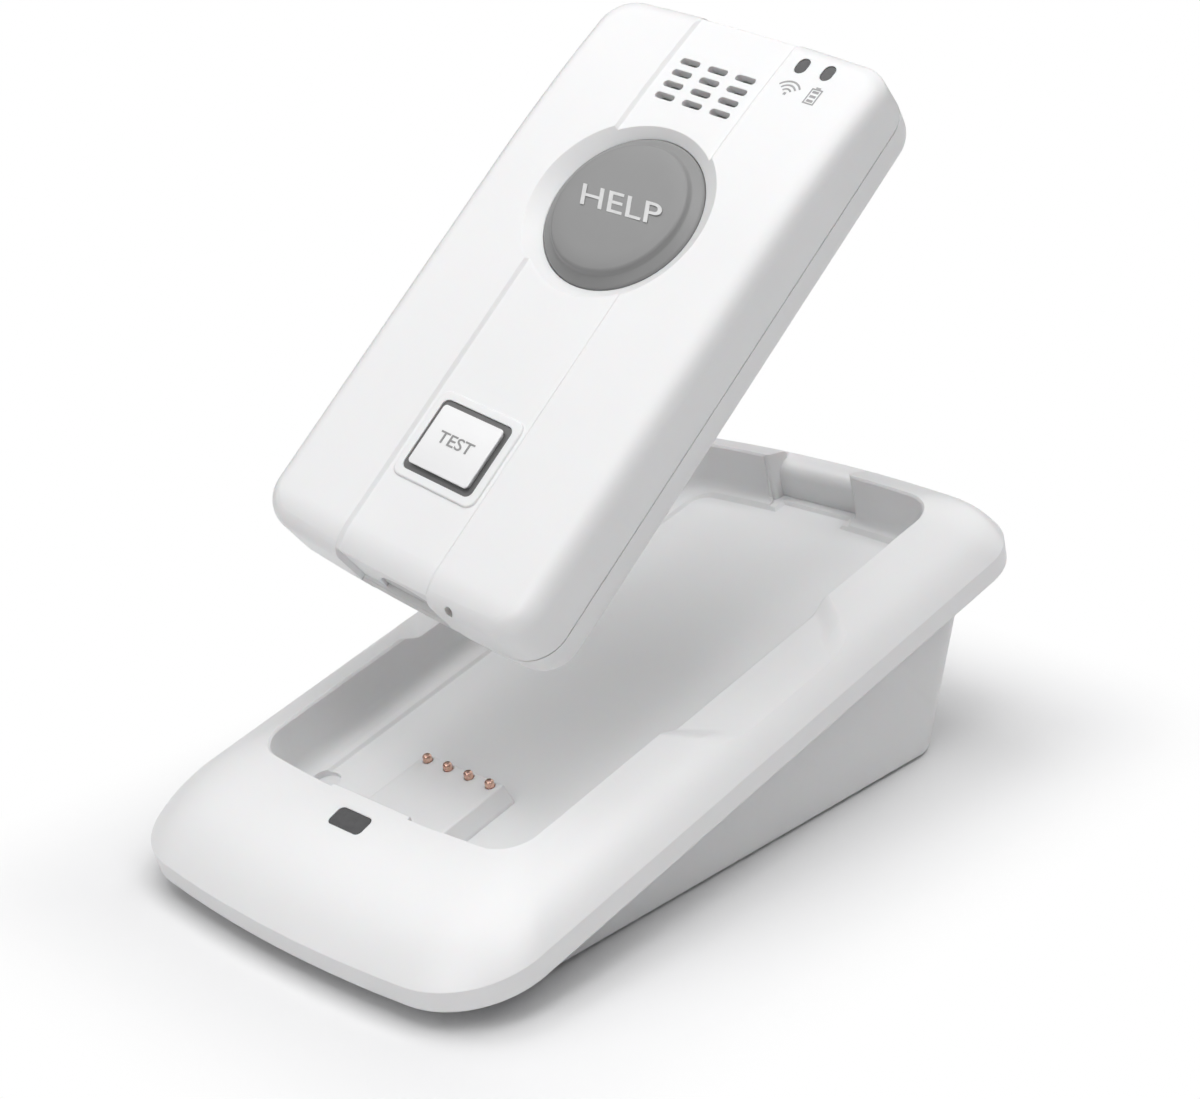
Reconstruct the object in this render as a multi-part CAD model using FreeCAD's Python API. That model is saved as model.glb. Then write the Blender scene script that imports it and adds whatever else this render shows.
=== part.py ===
# Pocket-size alert handset with its charging cradle: a wedge base, a domed bezel with a tilted pocket,
# and the handset held clear of the pocket on the path by which a hand lifts it out.
# World frame: millimetres, +Z up, +Y towards the high rear end, table at Z = 0,
# origin under the middle of the cradle.
# Tray frame (u, v, w): pocket rim plane, v up the slope from the pocket's front edge,
# w square out of the rim plane.
# Handset frame (a, b, c): a across, b from the bottom end, c square out of the face.
import FreeCAD, Part
import math
import os

V = FreeCAD.Vector

# ---- cradle: driving sizes ----
TILT = 13.08            # slope of the tray, degrees
RIM_HEIGHT = 17.87      # table to the pocket's front edge
POCKET_HALF = 27.5
POCKET_LEN = 100.8
POCKET_DEPTH = 9.0
POCKET_R_FRONT = 5.5
POCKET_R_REAR = 6.5
POCKET_DRAFT = 0.40     # how much the walls come in by the floor
POCKET_COVE = 2.4       # radius where the walls run into the floor
RIM_BEVEL = 0.5
WALL = 1.7
END_BOW = 240.0         # radius of the slightly bowed short ends
FLANGE_SIDE = 11.25     # pocket rim to the outer edge, along the sides
FLANGE_FRONT = 22.1
FLANGE_REAR = 9.4
FLANGE_R_GAIN = 8.5     # growth of the front corner radius from the rim to the outer edge
FLANGE_R_GAIN_REAR = 5.5
BAND = 3.3              # height of the upright outer band
CROWN = 7.1             # fall of the bezel from the rim to the top of the band
CROWN_FLAT = 0.545      # share of the fall that comes late, near the band
DECK = 4.5              # rim plane down to the bezel's flat underside
SKIRT_FOOT = 2.4        # inset of the hollow at the lower edge of the band
SKIRT_TOP = 6.4         # inset of the hollow at the flat underside
LIP_HALF = 8.3
LIP_PROUD = 0.4
SCOOP_FALL = 1.85
SCOOP_MID = 51.0
SCOOP_INNER = 18.0      # half length at the pocket
SCOOP_OUTER = 11.0      # half length at the outer side
SCOOP_REACH = 9.5       # beyond the pocket rim
SCOOP_SLOPE = 0.2       # outward fall of the scoop's floor
SCOOP_RUN = 5.0         # length of the easy slope at each end
SCOOP_SKIM = 0.05       # how far above the bezel that slope starts
NOTCH_HALF = 8.5
NOTCH_HALF_OUTER = 11.4
NOTCH_FALL = 2.9
NOTCH_BACK = 1.9        # how far the rear wall stands back in the notch
NOTCH_ROLL = 2.6
NOTCH_RIB_R = 0.8
WELL_U = 22.0
WELL_V = 7.2
WELL_R = 2.2
WELL_SINK = 1.1
FLOOR_HALF = 23.6       # sunk middle of the pocket floor
FLOOR_FRONT = 3.0
FLOOR_REAR = 98.9
FLOOR_R = 3.5
FLOOR_SINK = 0.5
FLOOR_NOTCH_HALF = 7.3
PLINTH_HALF = 8.3
PLINTH_FLARE = 0.8
PLINTH_REAR = 16.9
PLINTH_TOP = 6.1        # below the rim plane
WINDOW_W = 6.9
WINDOW_L = 3.4
WINDOW_V = -4.45
WINDOW_R = 0.9
BASE_HALF = 31.65
BASE_FRONT = -13.0      # measured from the pocket's front edge along Y
BASE_REAR = 96.0
BASE_FLARE = 0.33       # rearward lean of the rear wall per millimetre of height
BASE_R = 8.0
BASE_WALL = 1.8
BASE_CLEAR = 0.05
FOOT_PROUD = 0.6
PLATE_T = 2.0
PLATE_CLEAR = 0.1
FOOT_R = 5.0
FOOT_SINK = 1.2
BOSS_R = 3.0
SCREW_R = 1.2
SCREW_HEAD_R = 2.4
SCREW_HEAD_H = 1.3
SCREW_LEN = 5.6
CRADLE_BOARD_T = 1.2
BOARD_DROP = 1.2        # pocket underside to the board
BOARD_HALF = 18.5
BOARD_V0 = -8.0
BOARD_V1 = 60.0
POST_U = 15.0           # posts that carry the cradle's board
POST_V = (5.0, BOARD_V1 - 5.0)
INLET_HALF = 4.5
INLET_H = 3.6
INLET_Z = 5.0           # table to the underside of the power inlet
INLET_Y = 90.0
INLET_LEN = 6.6
INLET_WALL = 0.5
INLET_CLEAR = 0.1
TONGUE_HALF = 2.8       # contact tongues of the inlet and of the handset's socket
TONGUE_T = 0.7
POST_R = 1.6
POST_HOLE_R = 0.8
CRADLE_SCREW_R = 0.75
CRADLE_SCREW_HEAD_R = 1.8
CRADLE_SCREW_HEAD_H = 0.9
BOSS_X = 24.5
BOSS_Y = (4.0, 86.0)    # measured from the pocket's front edge along Y
FOOT_X = 23.0
FOOT_Y = (-5.0, 76.0)
TUB_NOTCH_WALL = 1.4
CRADLE_CHIP = (0.0, 34.0, 4.0)      # middle and half side
CRADLE_COIL = (9.0, 45.0, 3.0)
CHIP_H = 1.0
COIL_H = 2.2
GUIDE_R = 1.5           # light guide under the charge window
LED_HALF = (1.6, 1.0)
LED_DOME_R = 0.8
LEDGE_T = 1.0           # ledge inside the base on which the bottom plate stops
LEDGE_H = 1.3
EDGE_R = 0.5

# ---- contact pins ----
PIN_PITCH = 4.5
PIN_V = 15.7
PIN_R = 0.7
PIN_PROUD = 1.1
PIN_CLEAR = 0.06
BARREL_R = 1.1
BLOCK_WALL = 1.3        # carrier round the barrels
BARREL_TOP = 1.0        # plinth's top face down to the barrels
BARREL_FLOOR = 0.4
COLLAR_GAIN = 0.1       # collar that keeps a pin in its barrel
COLLAR_TOP = 1.1        # plinth's top face down to the collar
COLLAR_FOOT = 4.0

# ---- handset ----
HS_HALF = 26.8
HS_LEN = 98.0
HS_BACK = 16.0          # band face to the back
HS_R = 6.0
HS_BOW = 500.0          # radius of the handset's slightly bowed ends
HS_WING = 0.45          # the two wings stand this much above the middle band
BAND_HALF = 8.85
BAND_END = 0.9          # how far the band stands back from the wings at the two ends
BAND_STEP = 0.5         # width of the slope from the band up to each wing
FACE_FILLET = 2.9
FACE_BOW_LEN = 34.2     # the face curves away over this length at the top end
FACE_BOW_R = 246.0
ROLL_R = 7.5            # roll of the face into the bottom end
ROLL_FROM = 5.2
PARTING = 9.14
SEAM = 0.2
SEAM_DEEP = 0.5
SHELL = 1.7
BACK_TAPER = 0.6
BACK_FILLET = 3.6
HELP_FROM_TOP = 34.7
HELP_R = 12.75
HELP_TOP_R = 10.75
HELP_RUN = 0.1
HELP_RIM = 1.5          # depth of the dish rim below the band
DISH_R = 15.4
HELP_TRAVEL = 0.8
HELP_PROUD = 0.5
TEST_HALF = 6.9
TEST_B0 = 15.6
TEST_B1 = 27.3
TEST_FRAME = 1.1
TEST_RUN = 0.1
TEST_TRAVEL = 0.5
TEST_LIP = 1.3
TEST_LIP_UP = 0.3
SLOT_PITCH_A = 5.26
SLOT_PITCH_B = 2.2
SLOT_FROM_TOP = 9.05    # last grille row to the top end
SLOT_ROWS = 4
SLOT_COLUMNS = 3
SLOT_L = 3.6
SLOT_W = 1.1
STATUS_FROM_SIDE = 14.2 # handset's right side to the first window
STATUS_PITCH = 4.6
STATUS_FROM_TOP = 4.4
STATUS_L = 2.8
STATUS_W = 2.0
MIC_A = 13.6
MIC_TURN = 36.0         # place of the hole on the roll of the face, degrees from the flat
MIC_R = 0.75
RESET_A = -6.6
RESET_C = -4.2
RESET_R = 0.55
PORT_A = 2.1            # middle of the port, off the handset's middle line
PORT_HALF = 6.6
PORT_RISE = 6.0
PORT_GAP = 0.2
PORT_COVER_T = 0.6
PORT_COVER_B = 1.4      # outer face of the cover to the very end of the handset
PORT_HINGE_UP = 0.5     # hinge line above the parting line
PORT_HINGE_HALF = 6.4   # half the length of the hinge edge
PORT_PLUG_HALF = 2.6
PORT_PLUG_H = 1.1
PORT_PLUG_L = 0.7
RECESS_HALF = 10.1
RECESS_DEPTH = 3.9
RECESS_LEN = 17.9
RECESS_LEAD = 5.0
RECESS_MOUTH = 10.0     # level of the recess ceiling at the bottom end
BOARD_TOP = 6.4
BOARD_T = 1.0
BATTERY_HALF = 17.0
BATTERY_AFTER = 6.1     # recess to the battery
BATTERY_FROM_TOP = 22.0
BATTERY_AIR = 0.6
SPEAKER_R = 5.2
MODULE_HALF = 13.0
MODULE_AFTER = 2.5
MODULE_FROM_TOP = 5.5
MODULE_T = 2.4
HS_SCREW_A = 21.0
HS_SCREW_AFTER = 4.6    # recess to the lower pair of screws
HS_SCREW_FROM_TOP = 10.0
HS_SCREW_LEN = 8.8
HS_SCREW_SINK = 1.1     # heads below the back
FACE_DRAFT = 0.35
RING_GAIN = 1.2         # support ring under the dish, beyond the dish
DISH_CUT_H = 4.0        # height of the cone that the dish is cut with
HOLLOW_TOP = 8.0        # face to the top of the body that hollows the front shell
TEST_LIP_R = 1.6
TEST_CORNER_R = 1.1
TEST_KEY_UP = 0.42
TEST_FRAME_UP = 0.1
POST_FRONT_R = 2.4
POST_BACK_R = 3.4
PAD_R = 1.4
PAD_CLEAR = 0.02
PAD_STEM_R = 0.6
BOARD_SIDE = 3.0        # shell's outer face to the board
BOARD_END = 3.2
BOARD_R = 5.0
BOARD_CHIP = (-5.0, 38.0, 4.0)
SOCKET_HALF = 4.2
SOCKET_B = (2.9, 9.6)
SOCKET_H = 2.75
SOCKET_UP = 0.45        # parting line to the socket
SOCKET_WALL = 0.4
SOCKET_CLEAR = 0.5      # board cut-out round the socket
CELL_R = 1.2
SWITCH_H = 1.0
HELP_SWITCH_HALF = 3.0
TEST_SWITCH_HALF = 2.2
BUTTON_FLANGE = 0.9
BUTTON_WALL = 1.6
BUTTON_DEPTH = 2.5      # dish rim to the underside of the button's flange
BUTTON_FLANGE_DROP = 1.65
BUTTON_ROOF = 1.2
BUTTON_STEM_R = 1.8
BUTTON_CROWN_R = 180.0
KEY_STEM_R = 1.4
STEM_GAP = 0.1          # pressed stem to its switch
MESH_HALF = 8.0
LED_COLUMN = (0.7, 1.0)
MIC_HALF = 1.6
MIC_B = (3.25, 5.3)

# ---- where the lifted handset stands ----
DOCK_U = 0.3
DOCK_V = 0.45
DOCK_GAP = 0.3
LIFT_ANGLE = 31.914
LIFT_AXIS = V(0.95956, 0.25825, -0.11203)
LIFT_POINT_U = -15.724
LIFT_POINT_V = -42.359
LIFT_POINT_W = 40.650

FACE_BOW_FROM = HS_LEN - FACE_BOW_LEN
HELP_B = HS_LEN - HELP_FROM_TOP
SLOT_B = HS_LEN - SLOT_FROM_TOP - (SLOT_ROWS - 1) * SLOT_PITCH_B
STATUS_A = HS_HALF - STATUS_FROM_SIDE
STATUS_B = HS_LEN - STATUS_FROM_TOP
BATTERY_B0 = RECESS_LEN + BATTERY_AFTER
BATTERY_B1 = HS_LEN - BATTERY_FROM_TOP
CRADLE_LEN = FLANGE_FRONT + POCKET_LEN + FLANGE_REAR
TUB_FOOT = POCKET_DEPTH + WALL
LOW = BAND + CROWN
TILT_RAD = math.radians(TILT)
FRONT_Y = -FLANGE_FRONT * math.cos(TILT_RAD) + CROWN * math.sin(TILT_RAD)
REAR_Y = (POCKET_LEN + FLANGE_REAR) * math.cos(TILT_RAD) + LOW * math.sin(TILT_RAD)
MID_Y = (FRONT_Y + REAR_Y) / 2
ORIGIN = V(0, -MID_Y, RIM_HEIGHT)
TRAY = FreeCAD.Placement(ORIGIN, FreeCAD.Rotation(V(1, 0, 0), TILT))
DOCK_POINT = V(DOCK_U, DOCK_V, DOCK_GAP + HS_BACK - POCKET_DEPTH)
DOCKED = TRAY.multiply(FreeCAD.Placement(DOCK_POINT, FreeCAD.Rotation()))
AXIS_DIR = TRAY.Rotation.multVec(LIFT_AXIS)
AXIS_POINT = TRAY.multVec(V(LIFT_POINT_U, LIFT_POINT_V, LIFT_POINT_W))
TURN = FreeCAD.Rotation(AXIS_DIR, LIFT_ANGLE)
LIFT = FreeCAD.Placement(AXIS_POINT - TURN.multVec(AXIS_POINT), TURN)
HELD = LIFT.multiply(DOCKED)


# ---- building blocks ----
def box(x0, x1, y0, y1, z0, z1):
    return Part.makeBox(x1 - x0, y1 - y0, z1 - z0, V(x0, y0, z0))


def block(place, z0, z1):
    """Upright block on a square of side 2 * half about a middle, between two levels in either order."""
    x, y, half = place
    return box(x - half, x + half, y - half, y + half, min(z0, z1), max(z0, z1))


def rod(x, y, z0, z1, radius):
    return Part.makeCylinder(radius, z1 - z0, V(x, y, z0))


def plan(half, front, rear, r_front, r_rear, level, inset=0.0, bow=END_BOW):
    """Rounded outline with bowed short ends, tangent all the way round."""
    half = half - inset
    front = front + inset
    rear = rear - inset
    bow = bow - inset
    edges = []
    ends = []
    for sign, tip, radius in ((1, rear, r_rear - inset), (-1, front, r_front - inset)):
        mid = tip - sign * bow
        cy = mid + sign * math.sqrt((bow - radius) ** 2 - (half - radius) ** 2)
        out = V(half - radius, cy - mid, 0).normalize()
        touch = V(0, mid, level) + out * bow
        knee = (out + V(1, 0, 0)).normalize() * radius + V(half - radius, cy, level)
        ends.append((touch, knee, V(half, cy, level), V(0, tip, level)))
    (t1, k1, s1, m1), (t2, k2, s2, m2) = ends
    flip = [V(-p.x, p.y, p.z) for p in (t1, k1, s1, t2, k2, s2)]
    edges.append(Part.LineSegment(s2, s1).toShape())
    edges.append(Part.Arc(s1, k1, t1).toShape())
    edges.append(Part.Arc(t1, m1, flip[0]).toShape())
    edges.append(Part.Arc(flip[0], flip[1], flip[2]).toShape())
    edges.append(Part.LineSegment(flip[2], flip[5]).toShape())
    edges.append(Part.Arc(flip[5], flip[4], flip[3]).toShape())
    edges.append(Part.Arc(flip[3], m2, t2).toShape())
    edges.append(Part.Arc(t2, k2, s2).toShape())
    return Part.Wire(edges)


def loft(wires, ruled=True):
    return Part.makeLoft(wires, True, ruled)


def rise(wire, height):
    return Part.Face(wire).extrude(V(0, 0, height))


def all_below(level):
    """Everything under a level of the tray frame, at least a cradle's length past its middle all round."""
    return box(-CRADLE_LEN, CRADLE_LEN, -CRADLE_LEN, 2 * CRADLE_LEN, -CRADLE_LEN, level)


def pill(x, y, length, width, z0, z1, along_x=True):
    """Slot with round ends."""
    reach = (length - width) / 2
    shift = V(reach, 0, 0) if along_x else V(0, reach, 0)
    low = V(x, y, z0)
    ends = [Part.makeCylinder(width / 2, z1 - z0, low + side) for side in (shift, -shift)]
    if along_x:
        bar = box(x - reach, x + reach, y - width / 2, y + width / 2, z0, z1)
    else:
        bar = box(x - width / 2, x + width / 2, y - reach, y + reach, z0, z1)
    return bar.fuse(ends).removeSplitter()


def soft_box(x0, x1, y0, y1, z0, z1, radius):
    """Box with its four upright edges rounded."""
    body = box(x0, x1, y0, y1, z0, z1)
    upright = [e for e in body.Edges if abs(e.tangentAt(e.FirstParameter).z) > 0.99]
    return body.makeFillet(radius, upright)


def level_edges(shape, level, tolerance=0.01):
    return [e for e in shape.Edges if abs(e.BoundBox.ZMin - level) + abs(e.BoundBox.ZMax - level) < tolerance]


def move(shape, placement):
    copy = shape.copy()
    copy.Placement = placement.multiply(copy.Placement)
    return copy


def save(name, shape, placement=None):
    placed = shape if placement is None else move(shape, placement)
    if not placed.isValid():
        raise ValueError("bad solid in " + name)
    placed.exportStep("parts/" + name + ".step")
    print(name, len(placed.Solids), round(placed.Volume, 1))


# ---- cradle, in the tray frame ----
def flange_plan(share, level):
    """Outline between the outer edge (share 0) and the pocket rim (share 1)."""
    out = 1.0 - share
    return plan(POCKET_HALF + FLANGE_SIDE * out, -FLANGE_FRONT * out, POCKET_LEN + FLANGE_REAR * out,
                POCKET_R_FRONT + FLANGE_R_GAIN * out, POCKET_R_REAR + FLANGE_R_GAIN_REAR * out, level)


def outer_plan(inset, level):
    return plan(POCKET_HALF + FLANGE_SIDE, -FLANGE_FRONT, POCKET_LEN + FLANGE_REAR,
                POCKET_R_FRONT + FLANGE_R_GAIN, POCKET_R_REAR + FLANGE_R_GAIN_REAR, level, inset)


def pocket_plan(inset, level, front=-LIP_PROUD):
    return plan(POCKET_HALF, front, POCKET_LEN, POCKET_R_FRONT, POCKET_R_REAR, level, inset)


def dome_fall(out):
    """Fall of the bezel below the rim plane; out is 0 at the rim and 1 at the outer edge."""
    return CROWN * ((1 - CROWN_FLAT) * out + CROWN_FLAT * out ** 4)


def bezel_dome():
    """The crowned top: nearly level at the rim, rolling over towards the band."""
    steps = 7
    sections = []
    for i in range(steps):
        share = (i / (steps - 1)) ** 1.35
        sections.append(flange_plan(share, -dome_fall(1 - share)))
    return loft(sections, False)


def pocket_hollow():
    walls = loft([pocket_plan(-RIM_BEVEL, 0.1), pocket_plan(0, -RIM_BEVEL),
                  pocket_plan(POCKET_DRAFT, -POCKET_DEPTH)])
    return walls.makeFillet(POCKET_COVE, level_edges(walls, -POCKET_DEPTH))


def prism(points, level, height):
    corners = [V(x, y, level) for x, y in points]
    return Part.Face(Part.makePolygon(corners + corners[:1])).extrude(V(0, 0, height))


def ease(v0, v1, w0, w1, u):
    """Easy S-shaped line from one level to another."""
    steps = 8
    points = []
    for i in range(steps + 1):
        turn = math.pi * i / steps
        points.append(V(u, v0 + (v1 - v0) * i / steps, w0 + (w1 - w0) * (1 - math.cos(turn)) / 2))
    curve = Part.BSplineCurve()
    curve.interpolate(points)
    return curve.toShape()


def side_scoop(sign):
    """Cutter for the finger scoop: easy slopes at both ends, floor falling outward."""
    wires = []
    for run in (-2.0, 0.0, 2.5, 5.0, 7.5, SCOOP_REACH):
        u = sign * (POCKET_HALF + run)
        share = max(run, 0) / SCOOP_REACH
        half = SCOOP_INNER + (SCOOP_OUTER - SCOOP_INNER) * share
        floor = -SCOOP_FALL - SCOOP_SLOPE * run
        brim = max(SCOOP_SKIM - dome_fall(max(run, 0) / FLANGE_SIDE), floor + 0.3)
        ends = [SCOOP_MID - half - SCOOP_RUN / 2, SCOOP_MID - half + SCOOP_RUN / 2,
                SCOOP_MID + half - SCOOP_RUN / 2, SCOOP_MID + half + SCOOP_RUN / 2]
        sky = Part.makePolygon([V(u, ends[3], brim), V(u, ends[3], 1.5),
                                V(u, ends[0], 1.5), V(u, ends[0], brim)])
        flat = Part.LineSegment(V(u, ends[1], floor), V(u, ends[2], floor)).toShape()
        down = ease(ends[0], ends[1], brim, floor, u)
        up = ease(ends[2], ends[3], floor, brim, u)
        wires.append(Part.Wire([down, flat, up] + sky.Edges))
    return loft(wires)


def rear_notch():
    back = POCKET_LEN + NOTCH_BACK
    inner = POCKET_LEN - 2
    outer = POCKET_LEN + FLANGE_REAR
    roll = NOTCH_ROLL * (1 - math.cos(math.radians(45)))
    p = [V(-NOTCH_HALF, inner, 0.5), V(-NOTCH_HALF, inner, -POCKET_DEPTH),
         V(-NOTCH_HALF, back, -POCKET_DEPTH),
         V(-NOTCH_HALF, back, -NOTCH_FALL - NOTCH_ROLL),
         V(-NOTCH_HALF, back + roll, -NOTCH_FALL - roll),
         V(-NOTCH_HALF, back + NOTCH_ROLL, -NOTCH_FALL), V(-NOTCH_HALF, outer, -NOTCH_FALL),
         V(-NOTCH_HALF, outer, 0.5)]
    edges = [Part.LineSegment(p[0], p[1]), Part.LineSegment(p[1], p[2]), Part.LineSegment(p[2], p[3]),
             Part.Arc(p[3], p[4], p[5]), Part.LineSegment(p[5], p[6]), Part.LineSegment(p[6], p[7]),
             Part.LineSegment(p[7], p[0])]
    middle = Part.Face(Part.Wire([e.toShape() for e in edges])).extrude(V(2 * NOTCH_HALF, 0, 0))
    flare = prism([(-NOTCH_HALF, back + NOTCH_ROLL), (NOTCH_HALF, back + NOTCH_ROLL),
                   (NOTCH_HALF_OUTER, outer), (-NOTCH_HALF_OUTER, outer)], -NOTCH_FALL, NOTCH_FALL + 1)
    ribs = []
    for sign in (-1, 1):
        reach = [sign * NOTCH_HALF, sign * (NOTCH_HALF + NOTCH_RIB_R)]
        corner = box(min(reach), max(reach), POCKET_LEN - NOTCH_RIB_R, POCKET_LEN + NOTCH_RIB_R,
                     -POCKET_DEPTH, 0.5)
        ribs.append(corner.cut(rod(reach[1], POCKET_LEN + NOTCH_RIB_R, -POCKET_DEPTH - 1, 1, NOTCH_RIB_R)))
    return middle.fuse([flare] + ribs)


def floor_sink():
    """Cutter for the sunk middle of the pocket floor, with sloping edges."""
    rims = []
    tongue = []
    for grow in (FLOOR_SINK, -FLOOR_SINK):
        level = -POCKET_DEPTH + grow
        half = FLOOR_NOTCH_HALF + grow
        near = FLOOR_REAR - 4
        far = POCKET_LEN + FLOOR_SINK + grow
        rims.append(plan(FLOOR_HALF, FLOOR_FRONT, FLOOR_REAR, FLOOR_R, FLOOR_R, level, -grow))
        tongue.append(Part.makePolygon([V(-half, near, level), V(half, near, level), V(half, far, level),
                                        V(-half, far, level), V(-half, near, level)]))
    return loft(rims).fuse(loft(tongue))


def plinth():
    low = -POCKET_DEPTH - FLOOR_SINK - 0.1
    foot = PLINTH_HALF + PLINTH_FLARE
    front = -LIP_PROUD
    wires = []
    for half, rear, level in ((foot, PLINTH_REAR + 0.4, low), (foot, PLINTH_REAR + 0.4, -POCKET_DEPTH),
                              (PLINTH_HALF, PLINTH_REAR, -PLINTH_TOP)):
        wires.append(Part.makePolygon([V(-half, front, level), V(half, front, level), V(half, rear, level),
                                       V(-half, rear, level), V(-half, front, level)]))
    body = loft(wires)
    rims = [e for e in body.Edges if e.BoundBox.ZMin > -PLINTH_TOP - 0.01 and e.BoundBox.YMax > 1]
    return body.makeFillet(0.35, rims)


def pin_places():
    return [(i - 1.5) * PIN_PITCH for i in range(4)]


def posts(radius, low, high):
    return [rod(sign * POST_U, v, low, high, radius) for sign in (-1, 1) for v in POST_V]


def boss_places():
    """World positions of the four bosses between the bezel and the bottom plate."""
    return [(sign * BOSS_X, y - MID_Y) for sign in (-1, 1) for y in BOSS_Y]


def cradle_top():
    outline = flange_plan(0, -LOW)
    body = rise(outline, BAND).fuse(bezel_dome())
    body = body.cut(loft([outer_plan(SKIRT_FOOT, -LOW - 0.01), outer_plan(SKIRT_TOP, -DECK)]))
    tub = loft([pocket_plan(-WALL, -DECK + 0.3), pocket_plan(POCKET_DRAFT - WALL, -TUB_FOOT)])
    wide = NOTCH_HALF + TUB_NOTCH_WALL
    notch_end = POCKET_LEN + NOTCH_BACK + TUB_NOTCH_WALL
    notch_tub = box(-wide, wide, POCKET_LEN - 3, notch_end, -TUB_FOOT, -DECK + 0.3)
    body = body.fuse([tub, notch_tub])
    lip = box(-LIP_HALF, LIP_HALF, -LIP_PROUD - 1, 0, -TUB_FOOT, 1)
    body = body.cut([pocket_hollow().cut(lip), floor_sink(), side_scoop(1), side_scoop(-1), rear_notch()])
    body = body.fuse([plinth()] + posts(POST_R, -TUB_FOOT - BOARD_DROP, -TUB_FOOT + 0.5))
    body = body.cut([rod(sign * WELL_U, WELL_V, -POCKET_DEPTH - WELL_SINK, -POCKET_DEPTH + 2.6, WELL_R)
                     for sign in (-1, 1)])
    body = body.cut(posts(POST_HOLE_R, -TUB_FOOT - BOARD_DROP - 1, -TUB_FOOT + 0.2))
    for u in pin_places():
        body = body.cut(rod(u, PIN_V, -PLINTH_TOP - 1, -PLINTH_TOP + 1, PIN_R + PIN_CLEAR + 0.02))
        body = body.cut(rod(u, PIN_V, -TUB_FOOT - 1, -PLINTH_TOP - 0.9, BARREL_R + 0.02))
    half_w = WINDOW_W / 2
    half_l = WINDOW_L / 2
    body = body.cut(soft_box(-half_w, half_w, WINDOW_V - half_l, WINDOW_V + half_l, -DECK - 1, 1, WINDOW_R))
    body = body.removeSplitter()
    world = move(body, TRAY)
    below_floor = move(all_below(-POCKET_DEPTH - WALL / 2), TRAY)
    plate_top = FOOT_PROUD + PLATE_T + 0.02
    for x, y in boss_places():
        boss = rod(x, y, plate_top, CRADLE_LEN, BOSS_R).common(below_floor)
        world = world.fuse(boss)
    holes = [rod(x, y, plate_top - 1, plate_top + SCREW_LEN - 1.0, SCREW_R + 0.03) for x, y in boss_places()]
    return world.cut(holes).removeSplitter()


def charge_window():
    half_w = WINDOW_W / 2 - 0.03
    half_l = WINDOW_L / 2 - 0.03
    pane = soft_box(-half_w, half_w, WINDOW_V - half_l, WINDOW_V + half_l, -DECK + 0.6, 1, WINDOW_R - 0.03)
    under = bezel_dome()
    under.translate(V(0, 0, -0.08))
    pane = pane.common(under)
    guide = rod(0, WINDOW_V, -TUB_FOOT - BOARD_DROP + 0.92, -DECK + 0.8, GUIDE_R)
    return pane.fuse(guide).removeSplitter()


def charge_led():
    deck = -TUB_FOOT - BOARD_DROP
    half_u, half_v = LED_HALF
    foot = box(-half_u, half_u, WINDOW_V - half_v, WINDOW_V + half_v, deck, deck + 0.5)
    return foot.fuse(rod(0, WINDOW_V, deck + 0.5, deck + 0.9, LED_DOME_R))


def cradle_board():
    top = -TUB_FOOT - BOARD_DROP
    body = box(-BOARD_HALF, BOARD_HALF, BOARD_V0, BOARD_V1, top - CRADLE_BOARD_T, top)
    body = body.cut(posts(POST_HOLE_R + 0.15, top - CRADLE_BOARD_T - 1, top + 1))
    chip = block(CRADLE_CHIP, top - CRADLE_BOARD_T, top - CRADLE_BOARD_T - CHIP_H)
    coil = block(CRADLE_COIL, top - CRADLE_BOARD_T, top - CRADLE_BOARD_T - COIL_H)
    return body.fuse([chip, coil]).removeSplitter()


def board_screws():
    top = -TUB_FOOT - BOARD_DROP
    under = top - CRADLE_BOARD_T
    heads = posts(CRADLE_SCREW_HEAD_R, under - CRADLE_SCREW_HEAD_H, under)
    shanks = posts(CRADLE_SCREW_R, under - CRADLE_SCREW_HEAD_H / 2, -TUB_FOOT - 0.1)
    sockets = posts(CRADLE_SCREW_R, under - CRADLE_SCREW_HEAD_H - 0.1, under - CRADLE_SCREW_HEAD_H / 2)
    return Part.makeCompound([h.fuse(s).cut(d).removeSplitter() for h, s, d in zip(heads, shanks, sockets)])


def contact_block():
    """Carrier for the four spring contacts, standing on the board under the plinth."""
    top = -TUB_FOOT - BOARD_DROP
    reach = 1.5 * PIN_PITCH + BARREL_R + BLOCK_WALL
    side = BARREL_R + BLOCK_WALL
    body = box(-reach, reach, PIN_V - side, PIN_V + side, top, -TUB_FOOT - 0.05)
    return body.cut([rod(u, PIN_V, top - 1, -TUB_FOOT + 1, BARREL_R) for u in pin_places()])


def pin_barrels():
    top = -TUB_FOOT - BOARD_DROP
    made = []
    for u in pin_places():
        shell = rod(u, PIN_V, top, -PLINTH_TOP - BARREL_TOP, BARREL_R)
        bore = rod(u, PIN_V, top + BARREL_FLOOR, -PLINTH_TOP, PIN_R + COLLAR_GAIN + PIN_CLEAR)
        made.append(shell.cut(bore))
    return Part.makeCompound(made)


def contact_pin(u):
    tip = -PLINTH_TOP + PIN_PROUD
    shaft = rod(u, PIN_V, -PLINTH_TOP - COLLAR_TOP - 1, tip, PIN_R)
    shaft = shaft.makeFillet(PIN_R * 0.62, level_edges(shaft, tip))
    collar = rod(u, PIN_V, -PLINTH_TOP - COLLAR_FOOT, -PLINTH_TOP - COLLAR_TOP, PIN_R + COLLAR_GAIN)
    return shaft.fuse(collar).removeSplitter()


# ---- cradle base, upright in the world frame ----
def base_plan(inset, height):
    lean = BASE_FLARE * (height - FOOT_PROUD)
    return plan(BASE_HALF, BASE_FRONT - MID_Y, BASE_REAR + lean - MID_Y, BASE_R + 1, BASE_R, height, inset)


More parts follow.
